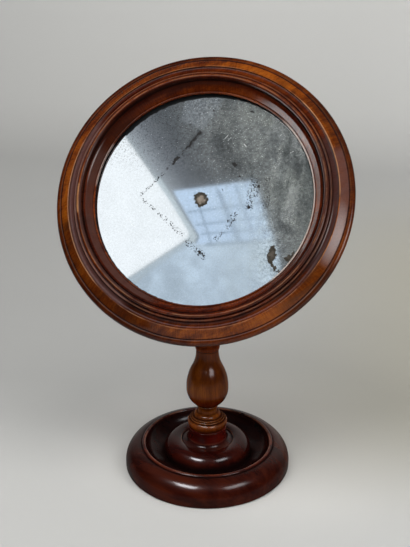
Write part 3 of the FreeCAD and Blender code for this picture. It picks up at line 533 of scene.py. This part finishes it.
# soft steps; those of lines are shares of their half width, those of places are millimetres or radians
glassSteps = {
    "bare": (0.9, 0.98), "brown": (0.34, 0.7), "bite": (0.85, 0.95), "trail": (0.3, 1.4), "dot": (0.34, 0.5),
    "gap": (0.42, 0.5), "stroke": (0.6, 1.3), "stray": (0.05, 0.12), "strayPlace": (0.52, 0.62),
    "spots": (0.22, 0.5), "cloudLine": (0.2, 1.6), "scratch": (0.5, 1.2), "hazeCloud": (0.34, 0.66),
    "hazeFine": (0.3, 0.75), "hazeStreaks": (0.4, 0.75), "edgeFrom": (0.8, 1.9), "edgeTo": (2.51, 2.54),
    "edge": (89.6, 91), "silver": (0.38, 0.62), "smudge": (0.46, 0.68), "smudgeRight": (0.3, 0.8),
    "pit": (0, 0.3), "pitUp": (5, 45), "pitRight": (0.45, 0.8), "mottling": (0.3, 0.7), "mottleUp": (8, 30),
    "mottleRight": (38, 58), "shown": (0, 0.35), "brownMottle": (0.35, 0.65), "gone": (0.35, 0.8),
    "speck": (0.2, 1), "paleCloud": (0.3, 0.7),
}
# shares of the marks; slants are (across, up, start)
glassMix = {
    "torn": (8, 8, 0), "shaken": (3, 3, 0), "dots": 0.95, "specks": 1.5, "strokeLeast": 0.45, "strays": 0.8,
    "toRight": (0.011, 0.004, 0.12), "toUpperRight": (0.02, 0.01, 0.35), "hazeCloud": 0.5, "hazeFine": 0.2,
    "hazeStreaks": 0.4, "edgeFine": 3, "edgeUpperLeft": 2.6, "silverGrain": 0.7, "silverCloud": 0.3,
    "smudge": 0.8, "dull": 0.42, "pits": 0.5, "mottleLeast": 0.2, "mottle": 0.8, "scratch": 0.8,
    "filmHaze": 0.28, "filmRight": 0.03, "filmSpecks": 0.04, "filmCloud": 0.09, "filmPale": 0.04,
    "film": 0.012, "filmDull": 0.35, "scratchMetal": 0.5, "rough": 0.035, "hazeRough": 0.05,
    "goneRough": 0.4, "shine": 0.2,
}


# distance from a spot to a stretch of line
def toLine(f, spot, start, end):
    a, b = Vector((*start, 0)), Vector((*end, 0))
    away = f.vector("SUBTRACT", spot, a)
    share = f.vector("DOT_PRODUCT", away, (b - a) / (b - a).length_squared).kept()
    along = f.node("ShaderNodeVectorMath", {"operation": "SCALE"}, {0: b - a, "Scale": share}, "Vector")
    return f.vector("DISTANCE", away, along)


# 1 on a stretch of line, fading out between two shares of its half width
def onLine(f, spot, start, end, half, fade):
    return 1 - toLine(f, spot, start, end).step(*(half * share for share in fade))


def onLines(f, spot, lines, fade):
    most = 0
    for line in lines:
        most = onLine(f, spot, *line, fade).over(most)
    return most


# 0 at the centre of a leaning oval, 1 on its edge
def toOval(f, spot, place, half, lean):
    return f.vector("LENGTH", f.seenFrom(spot, (*place, 0), (0, 0, math.radians(lean)), (*half, 1)))


def lookingGlass():
    f, m, s, tones, layers = Finish("old_looking_glass"), glassMix, glassSteps, glassTones, glassLayers
    local = f.seenFrom(f.place(), mirrorSpot, mirrorTurn)
    flat = f.vector("MULTIPLY", local, (toMm, toMm, 0))
    fray = f.vector("SUBTRACT", f.layer(local, layers["fray"], out="Color"), (noiseMean,) * 3)
    torn = f.vector("MULTIPLY_ADD", fray, m["torn"], flat)
    shaken = f.vector("MULTIPLY_ADD", fray, m["shaken"], flat)
    across, up = f.split(flat)[:2]
    radius = f.vector("LENGTH", flat)
    cloud, fine, grain = (f.layer(local, layers[name]) for name in ("cloud", "fine", "grain"))
    # bare patches: dark round the rim, brown within
    bare, brown = 0, 0
    for *oval, share in barePatches:
        reach = toOval(f, torn, *oval)
        bare = (1 - reach.step(*s["bare"])).over(bare)
        brown = ((1 - reach.step(*s["brown"])) * share).over(brown)
    bare = bare * toOval(f, torn, *silverBite).step(*s["bite"])
    # foxing: dots along the trails, dark strokes and a few strays
    dots = f.cells(flat, m["dots"], "Distance")
    near = 0
    for *line, share in foxTrails:
        near = (onLine(f, shaken, *line, s["trail"]) * share).over(near)
    spots = near * (1 - dots.step(*s["dot"])) * f.layer(local, layers["gaps"]).step(*s["gap"])
    for *line, share in darkStrokes:
        stroke = onLine(f, torn, *line, s["stroke"])
        spots = (stroke * share * (m["strokeLeast"] + fine)).over(spots)
    strays = (1 - dots.step(*s["stray"])) * f.layer(local, layers["strays"]).step(*s["strayPlace"])
    spots = spots.over(strays * m["strays"]).step(*s["spots"])
    dull = onLines(f, torn, dullClouds, s["cloudLine"])
    bright = onLines(f, flat, scratches, s["scratch"])

    def slant(look):
        return (across * look[0] + up * look[1] + look[2]).kept()

    # greenish tarnish to the right, and the edge painted black: desilvering all round, and painted shadow
    # under the lip, widest at the upper left
    streaked = f.layer(local, layers["streaks"])
    toRight = slant(m["toRight"])
    haze = cloud.step(*s["hazeCloud"]) * m["hazeCloud"] + fine.step(*s["hazeFine"]) * m["hazeFine"]
    haze = (toRight * (haze + streaked.step(*s["hazeStreaks"]) * m["hazeStreaks"])).kept()
    around = f.wire.math("ARCTAN2", up, across)
    lipShadowSide = around.step(*s["edgeFrom"]) * (1 - around.step(*s["edgeTo"]))
    edge = (radius + fine * m["edgeFine"] + lipShadowSide * m["edgeUpperLeft"]).step(*s["edge"])
    silver = (grain * m["silverGrain"] + cloud * m["silverCloud"]).step(*s["silver"])
    colour = f.blend(haze, f.blend(silver, *tones["silver"]), tones["tarnish"])
    smudge = f.layer(local, layers["smudges"]).step(*s["smudge"]) * toRight.step(*s["smudgeRight"])
    colour = f.blend((smudge * m["smudge"]).kept(), colour, tones["smudge"])
    colour = f.blend(dull * m["dull"], colour, tones["dull"])
    # specks and pits in the silver, mottled toward the upper right
    specks = f.red(f.cells(flat, m["specks"], "Color"))
    pits = (1 - specks.step(*s["pit"])) * up.step(*s["pitUp"]) * (1 - toRight.step(*s["pitRight"]))
    colour = f.blend(pits * m["pits"], colour, tones["pit"])
    mottling = f.layer(local, layers["mottling"]).step(*s["mottling"]).ramp(tones["mottling"])
    corner = up.step(*s["mottleUp"]).over(across.step(*s["mottleRight"]))
    mottled = slant(m["toUpperRight"]) * (m["mottleLeast"] + corner * m["mottle"])
    colour = f.blend(mottled, colour, f.blend(1, colour, mottling, "MULTIPLY"))
    colour = f.blend((bright * m["scratch"]).kept(), colour, tones["scratch"])
    colour = f.blend(spots.step(*s["shown"]), colour, tones["fox"])
    rust = f.blend(fine.step(*s["brownMottle"]), *tones["brown"])
    colour = f.blend(bare, colour, f.blend(brown, tones["bare"], rust))
    colour = f.blend(edge.step(*s["shown"]), colour, tones["edge"])
    gone = spots.over(bare).over(edge).step(*s["gone"])
    # a milky film over what silver is left
    pale = onLines(f, torn, paleClouds, s["cloudLine"])
    pale = pale * (cloud.step(*s["paleCloud"]) * m["filmCloud"] + m["filmPale"])
    speckled = specks.step(*s["speck"]) * (toRight * m["filmRight"] + m["filmSpecks"])
    film = (haze * m["filmHaze"] + speckled + pale + m["film"]) * (1 - dull * m["filmDull"])
    f.set(Base_Color=colour, Metallic=((1 - gone) * (1 - film - bright * m["scratchMetal"])).kept(),
          Roughness=(m["rough"] + haze * m["hazeRough"] + gone * m["goneRough"]).kept())
    f.set(Specular_IOR_Level=m["shine"])
    return f.material


glass = turnPiece("looking_glass", glassLook, leanBack, glassLook["crease"])
dress(glass, lookingGlass(), "head", "glass")
print("glass laid in")

boardLook = {
    "grain": (0, 0, math.radians(90)), "light": (0.3, 0.185, 0.085), "dark": (0.155, 0.085, 0.038),
    "stain": (0.06, 0.04, 0.025), "toneStep": (0.38, 0.66), "stainStep": (0.5, 0.75), "stainShare": 0.5,
    "streaks": ((0.03, 1, 1), 160, 4, 0.6, 0), "bands": ((0.012, 1, 0.4), 55, 2, 0.5, 0.4),
    "fibres": ((0.02, 1, 1), 1100, 2, 0.6, 0), "stains": (None, 18, 4, 0.6, 0),
    "streakTone": 0.35, "bandTone": 0.5, "fibreTone": 0.15, "rough": 0.62, "fibreRough": 0.2,
    "fibreRelief": 0.6, "streakRelief": 0.4, "depth": 0.0002, "bump": 0.5,
}


def dealBoard():
    f, m = Finish("deal_board"), boardLook
    local = f.seenFrom(f.place(), mirrorSpot, mirrorTurn)
    grain = f.seenFrom(local, noSpot, m["grain"])
    streaks, bands, fibres = (f.layer(grain, m[name]) for name in ("streaks", "bands", "fibres"))
    stains = f.layer(local, m["stains"]).step(*m["stainStep"])
    tone = streaks * m["streakTone"] + bands * m["bandTone"] + fibres * m["fibreTone"]
    colour = f.blend(tone.step(*m["toneStep"]), m["dark"], m["light"])
    colour = f.blend(stains * m["stainShare"], colour, m["stain"])
    f.set(Base_Color=colour, Roughness=(m["rough"] + fibres * m["fibreRough"]).kept())
    relief = fibres * m["fibreRelief"] + streaks * m["streakRelief"]
    f.set(Normal=f.bump(relief, m["depth"], m["bump"]))
    return f.material


metalLook = {
    "patches": (None, 260, 4, 0.6, 0), "fine": (None, 1600, 2, 0.6, 0),
    "tarnishStep": (0.45, 0.68), "tarnish": 0.8, "tarnishMetal": 0.25, "tarnishRough": 0.25,
    "fineRough": 0.12, "depth": 0.00004, "bump": 0.4,
}


def metal(name, colour, stain, rough):
    f, m = Finish(name), metalLook
    place = f.place()
    tarnish = f.layer(place, m["patches"]).step(*m["tarnishStep"])
    fine = f.layer(place, m["fine"])
    f.set(Base_Color=f.blend(tarnish * m["tarnish"], colour, stain),
          Metallic=(1 - tarnish * m["tarnishMetal"]).kept(),
          Roughness=(rough + tarnish * m["tarnishRough"] + fine * m["fineRough"]).kept())
    f.set(Normal=f.bump(fine, m["depth"], m["bump"]))
    return f.material


sheetLook = {
    "fuzz": (None, 1, 4, 0.7, 0), "broad": (None, 40, 3, 0.55, 0),
    "fuzzTone": 0.6, "broadTone": 0.4, "toneStep": (0.35, 0.65), "fuzzRough": 0.12,
    "depth": 0.0002, "bump": 0.6,
}


# paper, baize and leather: two colours, scale of the fuzz, roughness, sheen
def softSheet(name, colour, fleck, scale, rough, sheen):
    f, m = Finish(name), sheetLook
    place = f.place()
    fuzz = f.layer(place, m["fuzz"], scale)
    tone = fuzz * m["fuzzTone"] + f.layer(place, m["broad"]) * m["broadTone"]
    f.set(Base_Color=f.blend(tone.step(*m["toneStep"]), colour, fleck),
          Roughness=(rough + fuzz * m["fuzzRough"]).kept())
    f.set(Sheen_Weight=sheen, Normal=f.bump(fuzz, m["depth"], m["bump"]))
    return f.material


columnWood = dict(
    stemWood, spot=(0, 0, 0.01), span=(115, 236), bars=0.4, zones=[(0, (1.2, 0.8, 0.8)), (0.1, white)],
    colours=[(0, (0.07, 0.016, 0.003)), (0.5, (0.15, 0.038, 0.005)), (1, (0.24, 0.068, 0.009))],
    grimeAndShade=[(0, 0.2), (0.006, 0), (0.06, 0)], rubbedAndGlint=[(0, 0), (0.02, 0.3), (0.04, 0)])
yokeWood = dict(
    frameWood, span=(0, 60), bars=0.4, shadeAndFigure=[], wornAndSheen=[], matt=[],
    zones=[(0, (0.8, 0.7, 0.8)), (1, (0.9, 0.8, 0.9))],
    grimeAndShade=[(0, 0.1), (0.42, 0.25), (0.45, 0)], rubbedAndGlint=[(0.3, 0), (0.4, 0.4), (0.43, 0)])
nodeFinish = {
    "column": mahogany("column_mahogany", columnWood),
    "yoke": mahogany("yoke_mahogany", yokeWood),
    "backboard": dealBoard(),
    "backing_paper": softSheet("old_paper", (0.42, 0.35, 0.24), (0.33, 0.26, 0.17), 900, 0.85, 0),
    "base_pad": softSheet("green_baize", (0.018, 0.045, 0.026), (0.03, 0.07, 0.04), 1900, 0.9, 0.5),
    "stem_screw": metal("dull_steel", (0.3, 0.29, 0.28), (0.1, 0.055, 0.03), 0.35),
    "stem_washer": metal("washer_brass", (0.52, 0.36, 0.13), (0.18, 0.11, 0.045), 0.3),
    "swivel_washer": softSheet("neck_leather", (0.035, 0.017, 0.009), (0.06, 0.03, 0.015), 1500, 0.65, 0),
    "friction_washers": softSheet("pivot_leather", (0.1, 0.052, 0.026), (0.15, 0.085, 0.045), 1500, 0.65, 0),
}
brass = metal("old_brass", (0.56, 0.39, 0.14), (0.16, 0.095, 0.04), 0.24)
for node in ("board_screws", "yoke_screws", "pivot_bolt", "pivot_nut", "pivot_washers"):
    nodeFinish[node] = brass
for node, material in nodeFinish.items():
    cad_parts[node].material_slots[0].material = material
print("back and hidden pieces finished")

sweepLook = {"front": -3, "bend": 1.25, "radius": 0.7, "height": 2.6, "half": 4,
             "spacing": 0.05, "crease": 60}
# tone of the paper from front to back, darker behind the object as painted shade; the warmer tone behind to
# the right, a painted shadow; and where it is lighter, painted light: round the base, and far behind to the
# right
paperTone = {
    "span": (-0.3, 2.2), "plain": (1, 0.997, 0.965), "warmShadow": (0.985, 0.945, 0.8),
    "tones": [
        (0, 0.48), (0.1, 0.475), (0.17, 0.385), (0.26, 0.36), (0.45, 0.365), (0.6, 0.385), (0.78, 0.5),
        (1, 0.56)],
    "warmRight": (-0.05, 0.25), "warmFrom": (-0.1, 0.15), "warmTo": (0.5, 1.2),
    "base": (0.02, 0.04, 0), "baseReach": (0.08, 0.2), "baseFrom": (-0.15, -0.02),
    "farRight": (0, 0.5), "farFrom": (0.25, 0.7), "farShare": 0.5, "paintedLight": (1.2, 1.19, 1.18),
    "cloud": (None, 3, 3, 0.5, 0), "cloudShare": 0.06, "cloudTone": (0.5, 0.5, 0.5),
    "rough": 0.75, "shine": 0.1,
}


def paperFinish():
    f, p = Finish("pale_paper"), paperTone
    x, y, z = f.split(f.place())
    back = (y + z).rise(*p["span"])
    cloud = f.layer(f.place(), p["cloud"])
    # a painted warm shadow behind to the right, and painted light round the base and far behind to the right
    warmShadow = x.step(*p["warmRight"]) * y.step(*p["warmFrom"]) * (1 - y.step(*p["warmTo"]))
    tint = f.blend(warmShadow, p["plain"], p["warmShadow"])
    tone = f.blend(1, back.ramp(p["tones"]), tint, "MULTIPLY")
    near = 1 - f.vector("DISTANCE", f.joined(x, y), p["base"]).step(*p["baseReach"])
    near = near * y.step(*p["baseFrom"])
    farLight = x.step(*p["farRight"]) * y.step(*p["farFrom"])
    lit = (near + farLight * p["farShare"]).kept()
    tone = f.blend(lit, tone, f.blend(1, tone, p["paintedLight"], "MULTIPLY"))
    f.set(Base_Color=f.blend(cloud * p["cloudShare"], tone, p["cloudTone"]), Roughness=p["rough"])
    f.set(Specular_IOR_Level=p["shine"])
    return f.material


def paperSweep():
    bm, s = bmesh.new(), sweepLook
    bend, radius = Vector((s["bend"], 0)), s["radius"]
    bulge = radius * (1 - math.sqrt(0.5))
    curve = arcPoints(Vector((0, 0)), Vector((radius, radius)), bulge, s["spacing"])
    path = [Vector((s["front"], 0)), bend] + [bend + p for p in curve]
    path.append(bend + Vector((radius, s["height"])))
    verts = [bm.verts.new((-s["half"], p.x, p.y)) for p in path]
    edges = [bm.edges.new(pair) for pair in zip(verts, verts[1:])]
    grown = bmesh.ops.extrude_edge_only(bm, edges=edges)["geom"]
    bmesh.ops.translate(bm, verts=[g for g in grown if isinstance(g, bmesh.types.BMVert)],
                        vec=(2 * s["half"], 0, 0))
    sweep = finishPiece("paper_sweep", bm, s["crease"])
    sweep.data.materials.append(paperFinish())


farLook = {"radius": 4.2, "height": 4.4, "sunk": 0.01, "sides": 96, "crease": 60,
           "tones": [(0, 0.075), (0.05, 0.1), (0.12, 0.13), (0.25, 0.17), (1, 0.25)]}


# pale paper all round for the other views, a glow painted darker low down: it shows to the camera and neither
# lights nor reflects
def farPaper():
    f, m = Finish("far_paper", "ShaderNodeEmission"), farLook
    f.set(Color=(f.split(f.place())[2] / m["height"]).ramp(m["tones"]))
    bm = bmesh.new()
    bmesh.ops.create_cone(bm, cap_ends=False, segments=m["sides"], radius1=m["radius"], radius2=m["radius"],
                          depth=m["height"])
    bmesh.ops.translate(bm, verts=bm.verts, vec=(0, 0, m["height"] / 2 - m["sunk"]))
    piece = finishPiece("far_paper", bm, m["crease"])
    piece.data.materials.append(f.material)
    piece.visible_diffuse = piece.visible_glossy = piece.visible_shadow = False


# what the glass looks at, on a plane square to its line of sight: corners across and up in metres, the layer
# in front of the plane, the colour of its glow
boardPlane = {"centre": (-0.3276, -1.0988, 1.5292), "right": (-0.9564, 0.2922, 0),
              "up": (0.2189, 0.7165, 0.6624), "layer": 0.004,
              "wash": (0.09, -0.029), "washLean": (-0.63, 0.78), "washReach": 0.25}
wallTones = [(0, (0.4, 0.45, 0.48)), (0.1, (0.29, 0.32, 0.35)), (0.25, (0.15, 0.165, 0.185)),
             (0.45, (0.085, 0.095, 0.105)), (1, (0.085, 0.095, 0.095))]
boards = {
    "room_wall": (0, None, [(0.7, 0.7), (-0.7, 0.7), (-0.7, -0.7), (0.7, -0.7)]),
    "upper_patch": (1, (0.165, 0.183, 0.2),
        [(0.125, 0.2), (0.14, 0.4), (0.02, 0.4), (0.035, 0.25), (0.06, 0.195)]),
    "ceiling_board": (2, (1.02, 1.06, 1.08),
        [(0.017, -0.098), (0.09, -0.029), (0.153, 0.023), (0.267, 0.115), (0.45, 0.263),
         (0.65, 0.263), (0.65, -0.45), (0.302, -0.446), (0.023, -0.122), (0.0145, -0.108)]),
    "cornice": (2, (0.56, 0.64, 0.68),
        [(0.155, 0.0245), (0.138, 0.03), (0.082, -0.019), (-0.008, -0.101), (-0.006, -0.119),
         (0.022, -0.1235), (0.0145, -0.108), (0.017, -0.098), (0.09, -0.029)]),
    "cornice_shade": (2, (0.24, 0.28, 0.31),
        [(0.082, -0.019), (0.077, -0.017), (-0.016, -0.101), (-0.012, -0.121), (-0.006, -0.119),
         (-0.008, -0.101)]),
    "window_panes": (2, (0.57, 0.72, 0.91),
        [(0.093, 0.004), (-0.12, 0.096), (-0.223, -0.052), (-0.037, -0.119), (-0.012, -0.121),
         (-0.016, -0.101)]),
    "window_sill": (3, (0.34, 0.42, 0.5),
        [(-0.035, -0.114), (-0.223, -0.047), (-0.226, -0.056), (-0.037, -0.124)]),
    "lower_board": (2, (0.515, 0.625, 0.73),
        [(0.02, -0.126), (-0.012, -0.121), (-0.037, -0.119), (-0.223, -0.052), (-0.246, -0.085),
         (-0.3, -0.2), (-0.42, -0.48), (0.26, -0.48)]),
    "lower_strip": (3, (0.46, 0.55, 0.62),
        [(0.02, -0.126), (0.302, -0.452), (0.275, -0.452), (0.006, -0.128)]),
}
# bars of the window: from, to; how wide they look, their colour and layer
windowBars = [
    ((-0.023, 0.045), (-0.128, -0.088)), ((-0.074, 0.068), (-0.174, -0.071)),
    ((0.033, 0.018), (-0.052, -0.108)), ((0.038, -0.043), (-0.161, 0.042)),
    ((0.003, -0.071), (-0.186, 0.009)), ((-0.017, -0.092), (-0.205, -0.023)),
    ((-0.034, 0.04), (-0.138, -0.086))]
barLook = {"half": 0.0028, "colour": (0.3, 0.39, 0.5), "layer": 3}
# how uneven a glow is, where it isn't plain
glowLook = {"cloud": (None, 16, 4, 0.6, 0.5), "step": (0.3, 0.7),
            "plain": 0.03, "uneven": {"lower_board": 0.16}}


def onBoard(spot, layer=0):
    centre, right, up = (Vector(boardPlane[k]) for k in ("centre", "right", "up"))
    return centre + right * spot[0] + up * spot[1] + right.cross(up) * boardPlane["layer"] * layer


def glow(name, colour):
    f = Finish(name + "_glow", "ShaderNodeEmission")
    uneven = glowLook["uneven"].get(name, glowLook["plain"])
    cloud = f.layer(f.place(), glowLook["cloud"]).step(*glowLook["step"])
    f.set(Color=f.blend(cloud, *(tuple(c * share for c in colour) for share in (1 - uneven, 1 + uneven))))
    return f.material


# the wall, lightest along the edge of the ceiling
def wallGlow():
    f, m = Finish("wall_glow", "ShaderNodeEmission"), boardPlane
    across, up = m["washLean"]
    lean = Vector(m["right"]) * across + Vector(m["up"]) * up
    away = f.vector("SUBTRACT", f.place(), onBoard(m["wash"]))
    f.set(Color=(f.vector("DOT_PRODUCT", away, lean) / m["washReach"]).ramp(wallTones))
    return f.material


# a glowing card that shows in polished surfaces and lights nothing
def card(name, corners, material):
    bm = bmesh.new()
    bm.faces.new([bm.verts.new(c) for c in corners])
    piece = finishPiece(name, bm)
    piece.data.materials.append(material)
    piece.visible_camera = piece.visible_diffuse = piece.visible_shadow = False
    return piece


def reflectedBoards():
    for name, (layer, colour, corners) in boards.items():
        card(name, [onBoard(c, layer) for c in corners], glow(name, colour) if colour else wallGlow())
    barGlow = glow("window_bar", barLook["colour"])
    for k, (start, end) in enumerate(windowBars):
        start, end = Vector(start), Vector(end)
        along = (end - start).normalized()
        side = Vector((-along.y, along.x)) * barLook["half"]
        corners = [start + side, end + side, end - side, start - side]
        card("window_bar_%d" % k, [onBoard(c, barLook["layer"]) for c in corners], barGlow)


# keeps a lamp or card to some pieces, or away from them
def chooseLit(lamp, pieces, state):
    group = bpy.data.collections.new(lamp.name + "_choice")
    for piece in pieces:
        group.objects.link(piece)
    for member in group.collection_objects:
        member.light_linking.link_state = state
    lamp.light_linking.receiver_collection = group


# soft boxes: bearing and rise as seen from the object, reach and size in metres, watts; the wide ones fill,
# the small ones show as sheen, kept to some pieces or away from them
fills = {
    "left_skylight": (-41, 50, 2, (1.2, 1), 18),
    "front_bounce": (12, 66, 2.2, (1.8, 1.4), 31),
    "right_bounce": (65, 35, 2, (0.9, 0.9), 16),
}
sheens = {
    "ceiling_sheen": (-22, 41, 1.3, (1.1, 0.28), 50, "EXCLUDE", [glass, ring, base]),
    "right_panes": (46, 38, 1.3, (0.55, 0.34), 5, "EXCLUDE", [glass, ring, base]),
    "base_sheen": (-34, 57, 1.3, (0.6, 0.28), 26, "INCLUDE", [base]),
    "base_panes": (60, 48, 1.3, (0.55, 0.34), 9, "INCLUDE", [base]),
    "cove_sheen": (-17, 41, 1.3, (1.25, 0.32), 3.2, "INCLUDE", [ring]),
    "low_pane": (42, 24, 1.2, (0.56, 0.26), 7.5, "INCLUDE", [stem]),
}
lampAim = Vector((0, 0, 0.12))
sheenTint = (0.94, 0.97, 1)


def towardLight(bearing, rise):
    bearing, rise = math.radians(bearing), math.radians(rise)
    return Vector((math.sin(bearing) * math.cos(rise), -math.cos(bearing) * math.cos(rise), math.sin(rise)))


def areaLamp(name, size, watts, place, toward):
    light = bpy.data.lights.new(name, "AREA")
    light.shape = "RECTANGLE"
    light.size, light.size_y = size
    light.energy = watts
    lamp = bpy.data.objects.new(name, light)
    lamp.location = place
    lamp.rotation_euler = toward.to_track_quat("Z", "Y").to_euler()
    lamp.visible_camera = lamp.visible_glossy = False
    scene.collection.objects.link(lamp)
    return lamp


def softBox(name, bearing, rise, reach, size, watts):
    toward = towardLight(bearing, rise)
    return areaLamp(name, size, watts, lampAim + toward * reach, toward)


def sheenBox(name, state, pieces, *look):
    lamp = softBox(name, *look)
    lamp.data.color = sheenTint
    lamp.visible_glossy, lamp.visible_diffuse = True, False
    chooseLit(lamp, pieces, state)


# a pane at the left that only the glass hands on, to the inner slope of the frame: its corners, brightest low
# down, and how little of it the glass itself shows, which is one bounce from the camera
leftPane = {"corners": [(-0.5, -0.02, 0.012), (-0.2, -0.38, 0.012), (-0.2, -0.38, 0.42), (-0.5, -0.02, 1)],
            "tones": [(0, 0.45), (0.12, 0.8), (0.3, 0.8), (0.45, 0.36), (0.65, 0.22), (1, 0.18)],
            "span": (0.012, 1), "strength": 12, "direct": (0.05, 0.054, 0.058), "bounces": (1.2, 1.8)}


def leftGlow():
    f, m = Finish("left_pane_glow", "ShaderNodeEmission"), leftPane
    height = f.split(f.place())[2].rise(*m["span"])
    handedOn = f.node("ShaderNodeLightPath", out="Ray Depth").step(*m["bounces"])
    dimmed = f.blend(handedOn, m["direct"], white)
    f.set(Color=f.blend(1, height.ramp(m["tones"]), dimmed, "MULTIPLY"))
    f.set(Strength=m["strength"])
    chooseLit(card("left_pane", m["corners"], f.material), [glass], "INCLUDE")


# a round glow at the right that fades outward, for the frame's band
farPane = {"toward": (67, 20), "reach": 1.3, "radius": 0.36, "strength": 9.5,
           "fade": [(0, 1), (0.35, 0.9), (1, 0)]}


def farGlow():
    toward, radius = towardLight(*farPane["toward"]), farPane["radius"]
    centre, turn = lampAim + toward * farPane["reach"], toward.to_track_quat("Z", "Y")
    f = Finish("far_pane_glow", "ShaderNodeEmission")
    f.set(Color=(f.vector("DISTANCE", f.place(), centre) / radius).ramp(farPane["fade"]))
    f.set(Strength=farPane["strength"])
    corners = [centre + turn @ Vector((a, b, 0)) * radius for a, b in ((-1, -1), (1, -1), (1, 1), (-1, 1))]
    chooseLit(card("far_pane", corners, f.material), [ring], "INCLUDE")


# washes the paper behind, from above it
washLook = {"size": (3, 0.5), "watts": 14, "place": (0, 0.9, 1.6), "aim": (0, 1.95, 0.35)}


def wallWash():
    place = Vector(washLook["place"])
    areaLamp("wall_wash", washLook["size"], washLook["watts"], place, place - Vector(washLook["aim"]))


# light of the room from low down to overhead
roomTones = [(0.45, (0.05, 0.05, 0.05)), (0.7, (0.06, 0.062, 0.065)), (0.85, (0.09, 0.092, 0.095)),
             (1, (0.05, 0.05, 0.05))]


def roomLight():
    world = bpy.data.worlds.new("room")
    scene.world = world
    world.use_nodes = True
    w = Wire(world.node_tree)
    direction = w.node("ShaderNodeTexCoord", out="Generated")
    height = w.node("ShaderNodeSeparateXYZ", {}, {"Vector": direction}, "Z")
    colour = height.rise(-1, 1).ramp(roomTones)
    w.tree.links.new(colour.socket, w.tree.nodes["Background"].inputs["Color"])


paperSweep()
farPaper()
reflectedBoards()
for name, look in fills.items():
    softBox(name, *look)
for name, (*look, state, pieces) in sheens.items():
    sheenBox(name, state, pieces, *look)
leftGlow()
farGlow()
wallWash()
roomLight()
print("stage lit")

# focal length, frame and shift aside in pixels; reach and height in metres; angles in degrees
cameraLook = {"focal": 822, "frame": (410, 547), "aside": 2.7, "sensor": 36, "bearing": 11.31, "dip": 20.235,
              "reach": 0.66115, "height": 0.42951, "clip": (0.01, 50)}


def standCamera():
    m = cameraLook
    bearing, reach = math.radians(m["bearing"]), m["reach"]
    data = bpy.data.cameras.new("camera")
    data.sensor_width = m["sensor"]
    data.lens = m["focal"] * data.sensor_width / m["frame"][1]
    data.clip_start, data.clip_end = m["clip"]
    camera = bpy.data.objects.new("camera", data)
    camera.location = (reach * math.sin(bearing), -reach * math.cos(bearing), m["height"])
    turn = bearing + math.atan(m["aside"] / m["focal"])
    camera.rotation_euler = (math.radians(90 - m["dip"]), 0, turn)
    scene.collection.objects.link(camera)
    scene.camera = camera


standCamera()
print("camera set")
